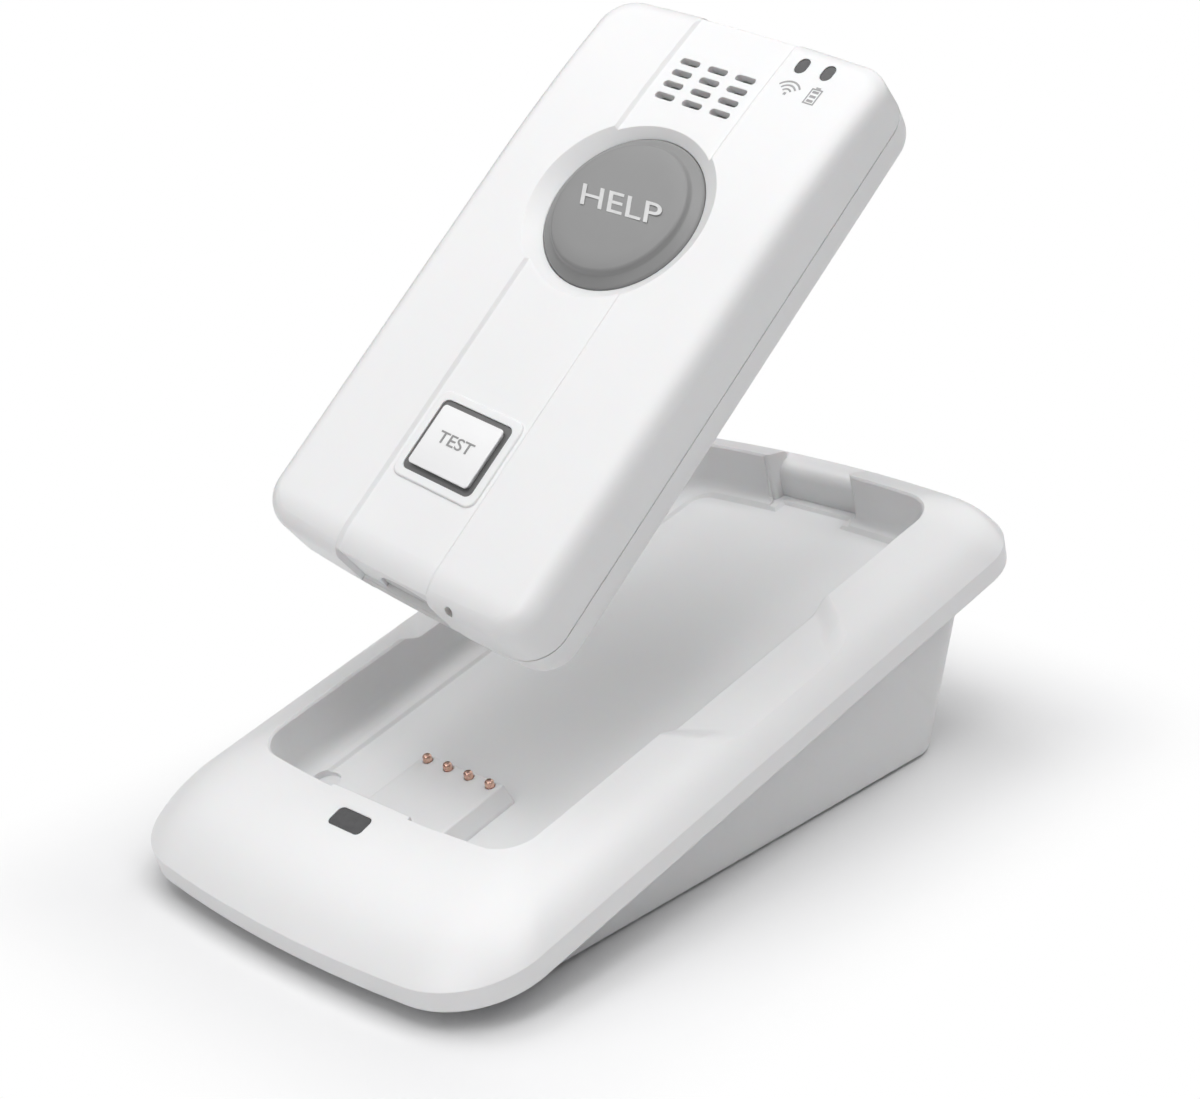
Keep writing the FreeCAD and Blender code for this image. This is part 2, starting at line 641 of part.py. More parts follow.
def wedge_base():
    tall = TUB_FOOT + RIM_HEIGHT + (POCKET_LEN + FLANGE_REAR) * math.sin(TILT_RAD)
    body = loft([base_plan(0, FOOT_PROUD), base_plan(0, tall)])
    body = body.makeFillet(EDGE_R, level_edges(body, FOOT_PROUD))
    inner = loft([base_plan(BASE_WALL, FOOT_PROUD - 0.5), base_plan(BASE_WALL, tall + 0.5)])
    ledge_low = FOOT_PROUD + PLATE_T + 0.02
    ledge_top = ledge_low + LEDGE_H
    ledge = loft([base_plan(BASE_WALL - 0.2, ledge_low), base_plan(BASE_WALL - 0.2, ledge_top)])
    within = BASE_WALL + LEDGE_T
    ledge = ledge.cut(loft([base_plan(within, ledge_low - 0.1), base_plan(within, ledge_top + 0.1)]))
    body = body.cut(inner).fuse(ledge)
    under = loft([outer_plan(SKIRT_FOOT + BASE_CLEAR, -LOW),
                  outer_plan(SKIRT_TOP + BASE_CLEAR, -DECK - BASE_CLEAR)])
    limit = under.fuse(all_below(-LOW))
    body = body.common(move(limit, TRAY))
    half = INLET_HALF + INLET_CLEAR
    inlet = box(-half, half, INLET_Y - MID_Y - 4, BASE_REAR - MID_Y + 3, INLET_Z - INLET_CLEAR,
                INLET_Z + INLET_H + INLET_CLEAR)
    return body.cut(inlet).removeSplitter()


def power_inlet():
    y0 = INLET_Y - MID_Y
    y1 = y0 + INLET_LEN
    body = box(-INLET_HALF, INLET_HALF, y0, y1, INLET_Z, INLET_Z + INLET_H)
    half = INLET_HALF - INLET_WALL
    mouth_low = INLET_Z + INLET_WALL
    mouth_top = INLET_Z + INLET_H - INLET_WALL
    body = body.cut(soft_box(-half, half, y0 + 1.0, y1 + 1, mouth_low, mouth_top, 0.3))
    middle = INLET_Z + INLET_H / 2
    tongue = box(-TONGUE_HALF, TONGUE_HALF, y0 + 0.9, y1 - 1.0, middle - TONGUE_T / 2, middle + TONGUE_T / 2)
    return body.fuse(tongue).removeSplitter()


def bottom_plate():
    top = FOOT_PROUD + PLATE_T
    body = loft([base_plan(BASE_WALL + PLATE_CLEAR, FOOT_PROUD), base_plan(BASE_WALL + PLATE_CLEAR, top)])
    shelf = box(-INLET_HALF, INLET_HALF, INLET_Y - MID_Y, INLET_Y - MID_Y + 3.0, top - 0.2, INLET_Z)
    body = body.fuse(shelf)
    body = body.cut([rod(x, y, 0, FOOT_PROUD + FOOT_SINK, FOOT_R + 0.05) for x, y in foot_places()])
    body = body.cut([rod(x, y, 0, top + 1, SCREW_R + 0.1) for x, y in boss_places()])
    body = body.cut([rod(x, y, 0, FOOT_PROUD + SCREW_HEAD_H, SCREW_HEAD_R + 0.1) for x, y in boss_places()])
    return body.removeSplitter()


def foot_places():
    return [(sign * FOOT_X, y - MID_Y) for sign in (-1, 1) for y in FOOT_Y]


def rubber_feet():
    made = []
    for x, y in foot_places():
        disc = rod(x, y, 0, FOOT_PROUD + FOOT_SINK, FOOT_R)
        made.append(disc.makeFillet(0.3, level_edges(disc, 0)))
    return Part.makeCompound(made)


def screw(x, y, head_low, reach):
    head = rod(x, y, head_low, head_low + SCREW_HEAD_H, SCREW_HEAD_R)
    body = head.fuse(rod(x, y, head_low, head_low + reach, SCREW_R))
    cross = box(x - 1.3, x + 1.3, y - 0.25, y + 0.25, head_low - 1, head_low + 0.7)
    bar = box(x - 0.25, x + 0.25, y - 1.3, y + 1.3, head_low - 1, head_low + 0.7)
    return body.cut([cross, bar]).removeSplitter()


def base_screws():
    return Part.makeCompound([screw(x, y, FOOT_PROUD, SCREW_LEN) for x, y in boss_places()])


# ---- handset, in its own frame ----
def hs_plan(inset, level):
    return plan(HS_HALF, 0, HS_LEN, HS_R, HS_R, level, inset, HS_BOW)


def face_side(drop, deep, a):
    """Outline at a station: everything below the face, lowered by a drop. Roll, flat, then the long curve."""
    far = HS_LEN + 2
    bow_r = FACE_BOW_R - drop
    end_turn = math.asin((far - FACE_BOW_FROM) / bow_r)
    mid_turn = end_turn / 2
    top = -drop
    roll_r = ROLL_R - drop
    roll_end = math.radians(62)
    roll_mid = roll_end / 2

    def bow(turn):
        return V(a, FACE_BOW_FROM + bow_r * math.sin(turn), top - bow_r * (1 - math.cos(turn)))

    def roll(turn):
        return V(a, ROLL_FROM - roll_r * math.sin(turn), top - roll_r * (1 - math.cos(turn)))

    tip = roll(roll_end)
    floor_near = V(a, tip.y - (tip.z - deep) / math.tan(roll_end), deep)
    floor_far = V(a, far, deep)
    parts = [Part.LineSegment(floor_near, tip), Part.Arc(tip, roll(roll_mid), roll(0)),
             Part.LineSegment(roll(0), bow(0)), Part.Arc(bow(0), bow(mid_turn), bow(end_turn)),
             Part.LineSegment(bow(end_turn), floor_far), Part.LineSegment(floor_far, floor_near)]
    return Part.Wire([p.toShape() for p in parts])


def face_body(half, drop, deep):
    """Everything below the lowered face, for a strip of the given half width."""
    return Part.Face(face_side(drop, deep, -half)).extrude(V(2 * half, 0, 0))


def face_level(b):
    """Level of the middle band at a distance from the bottom end."""
    run = max(b - FACE_BOW_FROM, 0)
    return -(FACE_BOW_R - math.sqrt(FACE_BOW_R ** 2 - run ** 2))


def front_outer():
    sides = loft([hs_plan(0, -PARTING), hs_plan(FACE_DRAFT, HS_WING + 6)])
    body = sides.common(face_body(HS_HALF + 2, -HS_WING, -PARTING))
    return body.makeFillet(FACE_FILLET, [e for e in body.Edges if on_rim(body, e)])


def on_rim(body, edge):
    """True where a side wall meets the face."""
    middle = edge.valueAt((edge.FirstParameter + edge.LastParameter) / 2)
    ups = []
    for face in body.ancestorsOfType(edge, Part.Face):
        u, v = face.Surface.parameter(middle)
        ups.append(face.normalAt(u, v).z)
    return min(ups) < 0.2 and max(ups) > 0.3


def band_cutter():
    """Clears the middle band a little below the wings, with a sloping step on either side."""
    deep = -PARTING - 2
    wide = BAND_HALF + BAND_STEP
    block = box(-wide, wide, -5, HS_LEN + 5, -PARTING - 1, 8)
    kept = loft([face_side(-HS_WING, deep, -wide - 0.01), face_side(0.0, deep, -BAND_HALF),
                 face_side(0.0, deep, BAND_HALF), face_side(-HS_WING, deep, wide + 0.01)])
    kept = kept.common(loft([hs_plan(BAND_END, -PARTING - 2), hs_plan(BAND_END + FACE_DRAFT, 8)]))
    return block.cut(kept)


def port_opening(grow, front, back):
    half = PORT_HALF + grow
    top = -PARTING + PORT_RISE + grow
    left = V(PORT_A - half, front, -PARTING)
    right = V(PORT_A + half, front, -PARTING)
    arc = Part.Arc(left, V(PORT_A, front, top), right).toShape()
    sill = Part.LineSegment(right, left).toShape()
    return Part.Face(Part.Wire([arc, sill])).extrude(V(0, back - front, 0))


def slot_places():
    middle = (SLOT_COLUMNS - 1) / 2
    return [((i - middle) * SLOT_PITCH_A, SLOT_B + j * SLOT_PITCH_B)
            for i in range(SLOT_COLUMNS) for j in range(SLOT_ROWS)]


def grille_middle():
    return SLOT_B + (SLOT_ROWS - 1) * SLOT_PITCH_B / 2


def status_places():
    return [STATUS_A, STATUS_A + STATUS_PITCH]


def handset_front():
    body = front_outer().cut(band_cutter())
    bore = HELP_R + HELP_RUN
    flare = (DISH_R - bore) * DISH_CUT_H / (HELP_RIM + HS_WING)
    body = body.cut(Part.makeCone(bore, bore + flare, DISH_CUT_H, V(0, HELP_B, -HELP_RIM)))
    lip_half = TEST_HALF + TEST_LIP
    lip = soft_box(-lip_half, lip_half, TEST_B0 - TEST_LIP, TEST_B1 + TEST_LIP, -1, TEST_LIP_UP, TEST_LIP_R)
    lip = lip.makeFillet(TEST_LIP_UP - 0.02, level_edges(lip, TEST_LIP_UP))
    body = body.fuse(lip)
    inner = loft([hs_plan(SHELL, -PARTING - 1), hs_plan(SHELL + FACE_DRAFT, HOLLOW_TOP)])
    inner = inner.common(face_body(HS_HALF, SHELL, -PARTING - 1))
    body = body.cut(inner)
    ring = rod(0, HELP_B, -HELP_RIM - 1.5, -HELP_RIM, DISH_R + RING_GAIN)
    body = body.fuse(ring).cut(rod(0, HELP_B, -6, 4, bore))
    body = body.cut(soft_box(-TEST_HALF, TEST_HALF, TEST_B0, TEST_B1, -6, 4, TEST_CORNER_R))
    body = body.cut([pill(a, b, SLOT_L, SLOT_W, -6, 2) for a, b in slot_places()])
    body = body.cut([pill(a, STATUS_B, STATUS_L, STATUS_W, -7, 2, False) for a in status_places()])
    body = body.cut(port_opening(PORT_GAP, -2, SHELL + 1.2))
    turn = math.radians(MIC_TURN)
    inward = V(0, math.sin(turn), -math.cos(turn))
    centre = V(MIC_A, ROLL_FROM, -ROLL_R)
    body = body.cut(Part.makeCylinder(MIC_R, SHELL + 2, centre - inward * (ROLL_R + 1), inward))
    body = body.cut(Part.makeCylinder(RESET_R, 1.6, V(RESET_A, -1, RESET_C), V(0, 1, 0)))
    body = body.fuse(mount_posts(POST_FRONT_R, -PARTING, -SHELL + 0.3))
    body = body.cut(mount_posts(SCREW_R + 0.03, -PARTING - 1, -PARTING + 3.2))
    below = box(-HS_LEN, HS_LEN, -HS_LEN, 2 * HS_LEN, -HS_LEN, -PARTING)
    return body.cut(below).removeSplitter()


def mount_posts(radius, low, high):
    return [rod(a, b, low, high, radius) for a, b in hs_screw_places()]


def hs_screw_places():
    rows = (RECESS_LEN + HS_SCREW_AFTER, HS_LEN - HS_SCREW_FROM_TOP)
    return [(sign * HS_SCREW_A, b) for sign in (-1, 1) for b in rows]


def recess_side():
    ceiling = -HS_BACK + RECESS_DEPTH
    return [V(0, -2, -HS_BACK - 1), V(0, RECESS_LEN, -HS_BACK - 1), V(0, RECESS_LEN, ceiling),
            V(0, RECESS_LEAD, ceiling), V(0, -0.5, -RECESS_MOUTH), V(0, -2, -RECESS_MOUTH)]


def recess(half, grow):
    """Hollow in the back that clears the contact plinth; with a growth it is the skin round that hollow."""
    points = recess_side()
    face = Part.Face(Part.makePolygon(points + points[:1]))
    body = face.extrude(V(2 * half, 0, 0))
    body.translate(V(-half, 0, 0))
    if grow == 0:
        return body
    skin = box(-half - grow, half + grow, 0.4, RECESS_LEN + grow,
               -HS_BACK + 1, -HS_BACK + RECESS_DEPTH + grow)
    lead = face.extrude(V(2 * (half + grow), 0, 0))
    lead.translate(V(-half - grow, 0.4, grow * 0.6))
    lead = lead.common(box(-half - grow, half + grow, 0.4, RECESS_LEAD + 1, -HS_BACK + 1, -PARTING - 0.25))
    return skin.fuse(lead)


def handset_back():
    deep = -HS_BACK
    outer = loft([hs_plan(0, -PARTING - SEAM), hs_plan(BACK_TAPER, deep)])
    outer = outer.makeFillet(BACK_FILLET, level_edges(outer, deep))
    tongue = rise(hs_plan(SEAM_DEEP, -PARTING - SEAM), SEAM)
    inner = loft([hs_plan(SHELL, -PARTING + 1), hs_plan(SHELL + BACK_TAPER, deep + SHELL)])
    inner = inner.makeFillet(BACK_FILLET - SHELL, level_edges(inner, deep + SHELL))
    body = outer.fuse(tongue).cut(inner)
    within = loft([hs_plan(0.3, -PARTING - SEAM), hs_plan(BACK_TAPER + 0.3, deep)])
    body = body.fuse(recess(RECESS_HALF, 1.4).common(within))
    body = body.cut(recess(RECESS_HALF, 0))
    bores = mount_posts(SCREW_R + 0.1, deep - 1, 0)
    body = body.fuse([p.cut(c) for p, c in zip(mount_posts(POST_BACK_R, deep + 1.0, -PARTING), bores)])
    body = body.cut(bores)
    body = body.cut(mount_posts(SCREW_HEAD_R + 0.1, deep - 1, deep + HS_SCREW_SINK + SCREW_HEAD_H))
    ceiling = deep + RECESS_DEPTH
    pad_holes = [rod(u + pad_shift(), pad_b(), ceiling - 1, ceiling + 3, PAD_R + PAD_CLEAR)
                 for u in pin_places()]
    body = body.cut(pad_holes)
    return body.removeSplitter()


def pad_shift():
    return -DOCK_U


def pad_b():
    return PIN_V - DOCK_V


def charge_pads():
    ceiling = -HS_BACK + RECESS_DEPTH
    made = []
    for u in pin_places():
        disc = rod(u + pad_shift(), pad_b(), ceiling - 0.1, ceiling + 1.0, PAD_R)
        stem = rod(u + pad_shift(), pad_b(), ceiling + 0.5, -BOARD_TOP - BOARD_T, PAD_STEM_R)
        made.append(disc.fuse(stem).removeSplitter())
    return Part.makeCompound(made)


def handset_board():
    low = -BOARD_TOP - BOARD_T
    half = HS_HALF - BOARD_SIDE
    body = soft_box(-half, half, BOARD_END, HS_LEN - BOARD_END, low, -BOARD_TOP, BOARD_R)
    bay = SOCKET_HALF + SOCKET_CLEAR
    body = body.cut(box(PORT_A - bay, PORT_A + bay, 0, SOCKET_B[1] + 0.2, low - 1, -BOARD_TOP + 1))
    body = body.cut(mount_posts(POST_BACK_R + 0.2, low - 1, -BOARD_TOP + 1))
    chip = block(BOARD_CHIP, -BOARD_TOP, -BOARD_TOP + CHIP_H)
    return body.fuse(chip).removeSplitter()


def battery():
    body = box(-BATTERY_HALF, BATTERY_HALF, BATTERY_B0, BATTERY_B1, -HS_BACK + SHELL + 0.05,
               -BOARD_TOP - BOARD_T - BATTERY_AIR)
    return body.makeFillet(CELL_R, [e for e in body.Edges if abs(e.tangentAt(e.FirstParameter).y) > 0.99])


def radio_module():
    """Screened radio block on the back of the board, past the battery."""
    low = -BOARD_TOP - BOARD_T
    near = BATTERY_B1 + MODULE_AFTER
    far = HS_LEN - MODULE_FROM_TOP
    return soft_box(-MODULE_HALF, MODULE_HALF, near, far, low - MODULE_T, low, 0.5)


def help_button():
    lip = -HELP_RIM
    body = rod(0, HELP_B, lip - 1.7, lip, HELP_R)
    bevel = Part.makeCone(HELP_R - 0.05, HELP_TOP_R + 0.35, HELP_RIM + HELP_PROUD - 0.3, V(0, HELP_B, lip))
    bevel = bevel.fuse(rod(0, HELP_B, HELP_PROUD - 0.3, HELP_PROUD, HELP_TOP_R))
    crown = Part.makeSphere(BUTTON_CROWN_R, V(0, HELP_B, HELP_PROUD + 0.18 - BUTTON_CROWN_R))
    pad = rod(0, HELP_B, HELP_PROUD - 0.2, HELP_PROUD + 0.4, HELP_TOP_R).common(crown)
    flange = rod(0, HELP_B, lip - BUTTON_DEPTH, lip - BUTTON_FLANGE_DROP, HELP_R + BUTTON_FLANGE)
    body = body.fuse([bevel, pad, flange])
    body = body.cut(rod(0, HELP_B, lip - BUTTON_DEPTH - 0.5, lip - BUTTON_ROOF, HELP_R - BUTTON_WALL))
    stem = rod(0, HELP_B, -BOARD_TOP + SWITCH_H + HELP_TRAVEL + STEM_GAP, lip - 1.0, BUTTON_STEM_R)
    return body.fuse(stem).removeSplitter()


def switch(b, half):
    """Flat switch on the board with its round dome."""
    shoulder = -BOARD_TOP + SWITCH_H - 0.3
    base = block((0, b, half), -BOARD_TOP, shoulder)
    return base.fuse(rod(0, b, shoulder, -BOARD_TOP + SWITCH_H, half * 0.55))


def test_frame():
    ring = soft_box(-TEST_HALF + 0.02, TEST_HALF - 0.02, TEST_B0 + 0.02, TEST_B1 - 0.02, -2.2, TEST_FRAME_UP,
                    TEST_CORNER_R - 0.02)
    flange = soft_box(-TEST_HALF - 0.8, TEST_HALF + 0.8, TEST_B0 - 0.8, TEST_B1 + 0.8,
                      -2.6, -SHELL - 0.02, 1.6)
    inner = soft_box(-TEST_HALF + TEST_FRAME, TEST_HALF - TEST_FRAME,
                     TEST_B0 + TEST_FRAME, TEST_B1 - TEST_FRAME, -4, 1, 0.7)
    return ring.fuse(flange).cut(inner).removeSplitter()


def test_button():
    gap = TEST_FRAME + TEST_RUN
    key = soft_box(-TEST_HALF + gap, TEST_HALF - gap, TEST_B0 + gap, TEST_B1 - gap, -2.6, TEST_KEY_UP, 0.6)
    key = key.makeFillet(0.3, level_edges(key, TEST_KEY_UP))
    flange = soft_box(-TEST_HALF + 0.3, TEST_HALF - 0.3, TEST_B0 + 0.3, TEST_B1 - 0.3, -3.3, -2.7, 1.0)
    b = (TEST_B0 + TEST_B1) / 2
    stem = rod(0, b, -BOARD_TOP + SWITCH_H + TEST_TRAVEL + STEM_GAP, -3.0, KEY_STEM_R)
    neck = soft_box(-TEST_HALF + gap, TEST_HALF - gap, TEST_B0 + gap, TEST_B1 - gap, -2.9, -2.5, 0.6)
    return key.fuse([neck, flange, stem]).removeSplitter()


def speaker():
    middle = grille_middle()
    top = face_level(middle) - SHELL - 0.9
    body = rod(0, middle, -BOARD_TOP, top, SPEAKER_R)
    cone = Part.makeCone(SPEAKER_R - 1.6, 2.0, 1.0, V(0, middle, top), V(0, 0, -1))
    return body.cut(cone).fuse(rod(0, middle, -BOARD_TOP + 0.5, top - 0.6, 2.2)).removeSplitter()


def speaker_mesh():
    sheet = face_body(MESH_HALF, SHELL + 0.02, -7).cut(face_body(MESH_HALF + 1, SHELL + 0.3, -8))
    reach = (SLOT_ROWS - 1) * SLOT_PITCH_B / 2 + SLOT_W + 0.1
    return sheet.common(box(-MESH_HALF, MESH_HALF, grille_middle() - reach, grille_middle() + reach, -6, 2))


def microphone():
    return box(MIC_A - MIC_HALF, MIC_A + MIC_HALF, MIC_B[0], MIC_B[1], -BOARD_TOP, -BOARD_TOP + 2.0)


def status_window(a):
    level = face_level(STATUS_B)
    body = pill(a, STATUS_B, STATUS_L - 0.06, STATUS_W - 0.06, level - SHELL - 0.5, level + 0.8, False)
    return body.common(face_body(HS_HALF, -HS_WING + 0.1, -8))


def status_leds():
    level = face_level(STATUS_B)
    made = []
    for a in status_places():
        half_a, half_b = LED_COLUMN
        made.append(box(a - half_a, a + half_a, STATUS_B - half_b, STATUS_B + half_b,
                        -BOARD_TOP, level - SHELL - 0.6))
    return Part.makeCompound(made)


def port_cover():
    """Arched cover in the bottom end; its round lower edge is the hinge."""
    hinge_level = -PARTING + PORT_HINGE_UP
    inner = PORT_COVER_B + PORT_COVER_T
    middle = PORT_COVER_B + PORT_COVER_T / 2
    left = PORT_A - PORT_HINGE_HALF
    body = port_opening(0, PORT_COVER_B, inner)
    body = body.common(box(left, PORT_A + PORT_HINGE_HALF, 0, inner, hinge_level, 0))
    edge = Part.makeCylinder(PORT_COVER_T / 2, 2 * PORT_HINGE_HALF, V(left, middle, hinge_level), V(1, 0, 0))
    plug = box(PORT_A - PORT_PLUG_HALF, PORT_A + PORT_PLUG_HALF, inner - 0.2, inner + PORT_PLUG_L,
               hinge_level + 0.7, hinge_level + 0.7 + PORT_PLUG_H)
    return body.fuse([edge, plug]).removeSplitter()


def port_socket():
    low = -PARTING + SOCKET_UP
    near, far = SOCKET_B
    body = box(-SOCKET_HALF, SOCKET_HALF, near, far, low, low + SOCKET_H)
    half = SOCKET_HALF - SOCKET_WALL - 0.1
    top = low + SOCKET_H
    body = body.cut(soft_box(-half, half, near - 1, far - 0.8, low + SOCKET_WALL, top - SOCKET_WALL, 0.3))
    middle = low + SOCKET_H / 2
    tongue = box(-TONGUE_HALF, TONGUE_HALF, near + 1.1, far - 0.7, middle - 0.275, middle + 0.275)
    body = body.fuse(tongue).removeSplitter()
    body.translate(V(PORT_A, 0, 0))
    return body


def handset_screws():
    deep = -HS_BACK + HS_SCREW_SINK
    return Part.makeCompound([screw(a, b, deep, HS_SCREW_LEN) for a, b in hs_screw_places()])


def main():
    os.makedirs("parts", exist_ok=True)
    save("cradle_top", cradle_top())
    save("wedge_base", wedge_base())
    save("bottom_plate", bottom_plate())
    save("rubber_feet", rubber_feet())
    save("base_screws", base_screws())
    save("power_inlet", power_inlet())
    save("charge_window", charge_window(), TRAY)
    save("charge_led", charge_led(), TRAY)
    save("cradle_board", cradle_board(), TRAY)
    save("board_screws", board_screws(), TRAY)
    save("contact_block", contact_block(), TRAY)
    save("pin_barrels", pin_barrels(), TRAY)
    for i, u in enumerate(pin_places()):
        save("contact_pin_" + str(i + 1), contact_pin(u), TRAY)
    save("handset_front", handset_front(), HELD)
    save("handset_back", handset_back(), HELD)
    save("handset_board", handset_board(), HELD)
    save("battery", battery(), HELD)
    save("radio_module", radio_module(), HELD)
    save("help_button", help_button(), HELD)
    save("help_switch", switch(HELP_B, HELP_SWITCH_HALF), HELD)
    save("test_frame", test_frame(), HELD)
    save("test_button", test_button(), HELD)
    save("test_switch", switch((TEST_B0 + TEST_B1) / 2, TEST_SWITCH_HALF), HELD)
    save("speaker", speaker(), HELD)
    save("speaker_mesh", speaker_mesh(), HELD)
    save("microphone", microphone(), HELD)
    for i, a in enumerate(status_places()):
        save("status_window_" + str(i + 1), status_window(a), HELD)
    save("status_leds", status_leds(), HELD)
    save("charge_pads", charge_pads(), HELD)
    save("port_cover", port_cover(), HELD)
    save("port_socket", port_socket(), HELD)
    save("handset_screws", handset_screws(), HELD)


main()
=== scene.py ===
import math

import bpy
from bpy.props import FloatProperty, FloatVectorProperty, PointerProperty, StringProperty
from mathutils import Matrix, Vector


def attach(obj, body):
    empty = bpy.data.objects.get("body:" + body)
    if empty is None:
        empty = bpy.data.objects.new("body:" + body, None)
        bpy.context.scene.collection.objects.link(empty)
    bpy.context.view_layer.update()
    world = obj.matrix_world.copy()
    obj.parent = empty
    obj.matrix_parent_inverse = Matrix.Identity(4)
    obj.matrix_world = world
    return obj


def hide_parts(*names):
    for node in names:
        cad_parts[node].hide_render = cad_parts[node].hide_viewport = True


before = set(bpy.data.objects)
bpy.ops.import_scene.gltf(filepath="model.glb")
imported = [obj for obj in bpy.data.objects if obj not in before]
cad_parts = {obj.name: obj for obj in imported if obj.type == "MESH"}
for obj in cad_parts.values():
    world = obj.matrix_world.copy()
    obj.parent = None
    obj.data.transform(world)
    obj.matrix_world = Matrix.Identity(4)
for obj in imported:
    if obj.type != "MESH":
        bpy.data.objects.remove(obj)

bl_info = {
    "name": "Alert Base Station",
    "version": (1, 0, 0),
    "blender": (4, 5, 0),
    "location": "View3D > Sidebar > Alert Station",
    "description": "Finishes a pocket alert handset over its charging cradle on a pale studio floor",
    "category": "Object",
}

MM = 0.001

# where the handset stands: the same places as the solids
TILT = math.radians(13.08)
TRAY_ORIGIN = Vector((0.0, -44.887348, 17.87)) * MM
DOCKED_ORIGIN = Vector((0.3, 0.45, 7.3)) * MM
LIFT_ANGLE = math.radians(31.914)
LIFT_AXIS = Vector((0.95956, 0.25825, -0.11203))
LIFT_POINT = Vector((-15.724, -42.359, 40.650)) * MM
FACE_BOW_FROM = 63.8 * MM
FACE_BOW_R = 246.0 * MM
WING = 0.45 * MM

# half the cradle's width and length on the floor
CRADLE_HALF = Vector((38.75, 64.5, 0.0)) * MM

# the round button and the test key: the same places as the solids
HELP_B = 63.3 * MM
HELP_R = 12.75 * MM
HELP_TOP_R = 10.75 * MM
HELP_RIM = 1.5 * MM
HELP_PROUD = 0.5 * MM
KEY_B = 21.45 * MM
KEY_HALF_A = 5.7 * MM
KEY_HALF_B = 4.65 * MM
KEY_CAP_GAIN = 0.25 * MM
KEY_CAP_LOW = 0.62 * MM
KEY_TOP = 0.85 * MM
KEY_FOOT = -2.0 * MM
KEY_CORNER = 0.6 * MM
KEY_EDGE = 0.1 * MM


def handset_place():
    """Handset frame (a across, b from the bottom end, c out of the face) to the world."""
    tray = Matrix.Translation(TRAY_ORIGIN) @ Matrix.Rotation(TILT, 4, "X")
    axis = tray.to_3x3() @ LIFT_AXIS.normalized()
    point = tray @ LIFT_POINT
    turn = Matrix.Translation(point) @ Matrix.Rotation(LIFT_ANGLE, 4, axis) @ Matrix.Translation(-point)
    return turn @ tray @ Matrix.Translation(DOCKED_ORIGIN)


def face_place(a, b, lift, spin=0.0):
    """A frame lying on the handset's face at (a, b), raised by lift and spun about the face's normal."""
    run = max(b - FACE_BOW_FROM, 0.0)
    fall = FACE_BOW_R - math.sqrt(FACE_BOW_R ** 2 - run ** 2)
    lean = Matrix.Rotation(-math.asin(run / FACE_BOW_R), 4, "X")
    return handset_place() @ Matrix.Translation((a, b, lift - fall)) @ lean @ Matrix.Rotation(spin, 4, "Z")


# ---- settings ----
class ALERT_PG_finish(bpy.types.PropertyGroup):
    shell_colour: FloatVectorProperty(
        name="Shell colour", description="Colour of the white mouldings", size=3, subtype="COLOR", min=0,
        max=1, default=(0.8, 0.8, 0.805))
    shell_gloss: FloatProperty(
        name="Shell roughness", description="Roughness of the white mouldings", min=0, max=1,
        default=0.34, subtype="FACTOR")
    button_colour: FloatVectorProperty(
        name="Button colour", description="Colour of the round help button", size=3, subtype="COLOR",
        min=0, max=1, default=(0.25, 0.25, 0.25))
    edge_radius: FloatProperty(
        name="Edge radius", description="Apparent rounding of moulded edges", unit="LENGTH", min=0,
        default=0.00022)


class ALERT_PG_legend(bpy.types.PropertyGroup):
    help_text: StringProperty(
        name="Help word", description="Word on the round button", default="HELP")
    help_height: FloatProperty(
        name="Help size", description="Type size of the help word", unit="LENGTH", default=0.0047)
    help_spin: FloatProperty(
        name="Help turn", description="Turn of the help word on the face", subtype="ANGLE",
        default=math.radians(3.5))
    test_text: StringProperty(
        name="Test word", description="Word on the test key", default="TEST")
    test_height: FloatProperty(
        name="Test size", description="Type size of the test word", unit="LENGTH", default=0.0026)


class ALERT_PG_stage(bpy.types.PropertyGroup):
    camera_place: FloatVectorProperty(
        name="Camera place", description="Camera position in the world", size=3, subtype="TRANSLATION",
        unit="LENGTH", default=(0.231013, -0.227229, 0.166031))
    azimuth: FloatProperty(
        name="Azimuth", description="Camera heading round the object", subtype="ANGLE",
        default=math.radians(45.027))
    elevation: FloatProperty(
        name="Elevation", description="Camera height above the horizon", subtype="ANGLE",
        default=math.radians(20.964))
    roll: FloatProperty(
        name="Roll", description="Camera roll", subtype="ANGLE", default=math.radians(-2.978))
    lens: FloatProperty(
        name="Focal length", description="Focal length on a 36 mm sensor", default=68.846, min=1)
    top_level: FloatProperty(
        name="Overhead light", description="Share of full white from the overhead softbox", default=0.46,
        min=0)
    front_level: FloatProperty(
        name="Front light", description="Share of full white from the front softbox", default=0.31,
        min=0)
    rear_level: FloatProperty(
        name="Rear light", description="Share of full white from the rear softbox", default=0.3, min=0)
    left_level: FloatProperty(
        name="Left light", description="Share of full white from the left softbox", default=0.27, min=0)
    right_level: FloatProperty(
        name="Right light", description="Share of full white from the right softbox", default=0.44,
        min=0)
    world_level: FloatProperty(
        name="Surround", description="Brightness of the white surround", default=0.02, min=0)
    floor_size: FloatProperty(
        name="Floor size", description="Side of the square floor", unit="LENGTH", default=4.0)
    shadow_reach: FloatProperty(
        name="Shadow reach", description="How far from the cradle the floor fades to white",
        unit="LENGTH", default=0.032)


# ---- shared shader groups ----
ROUGH_SPREAD = 0.04
COAT_ROUGH = 0.12
SCATTER_DEPTH = 2.0 * MM
GRAIN_HEIGHT = 0.02 * MM


def new_group(name, outputs):
    """A shader group with its (label, kind) outputs and no inputs yet."""
    group = bpy.data.node_groups.new(name, "ShaderNodeTree")
    for label, kind in outputs:
        group.interface.new_socket(name=label, in_out="OUTPUT", socket_type=kind)
    return group


def group_input(group, label, value):
    """A number that each use of the group sets for itself."""
    socket = group.interface.new_socket(name=label, in_out="INPUT", socket_type="NodeSocketFloat")
    socket.default_value = value


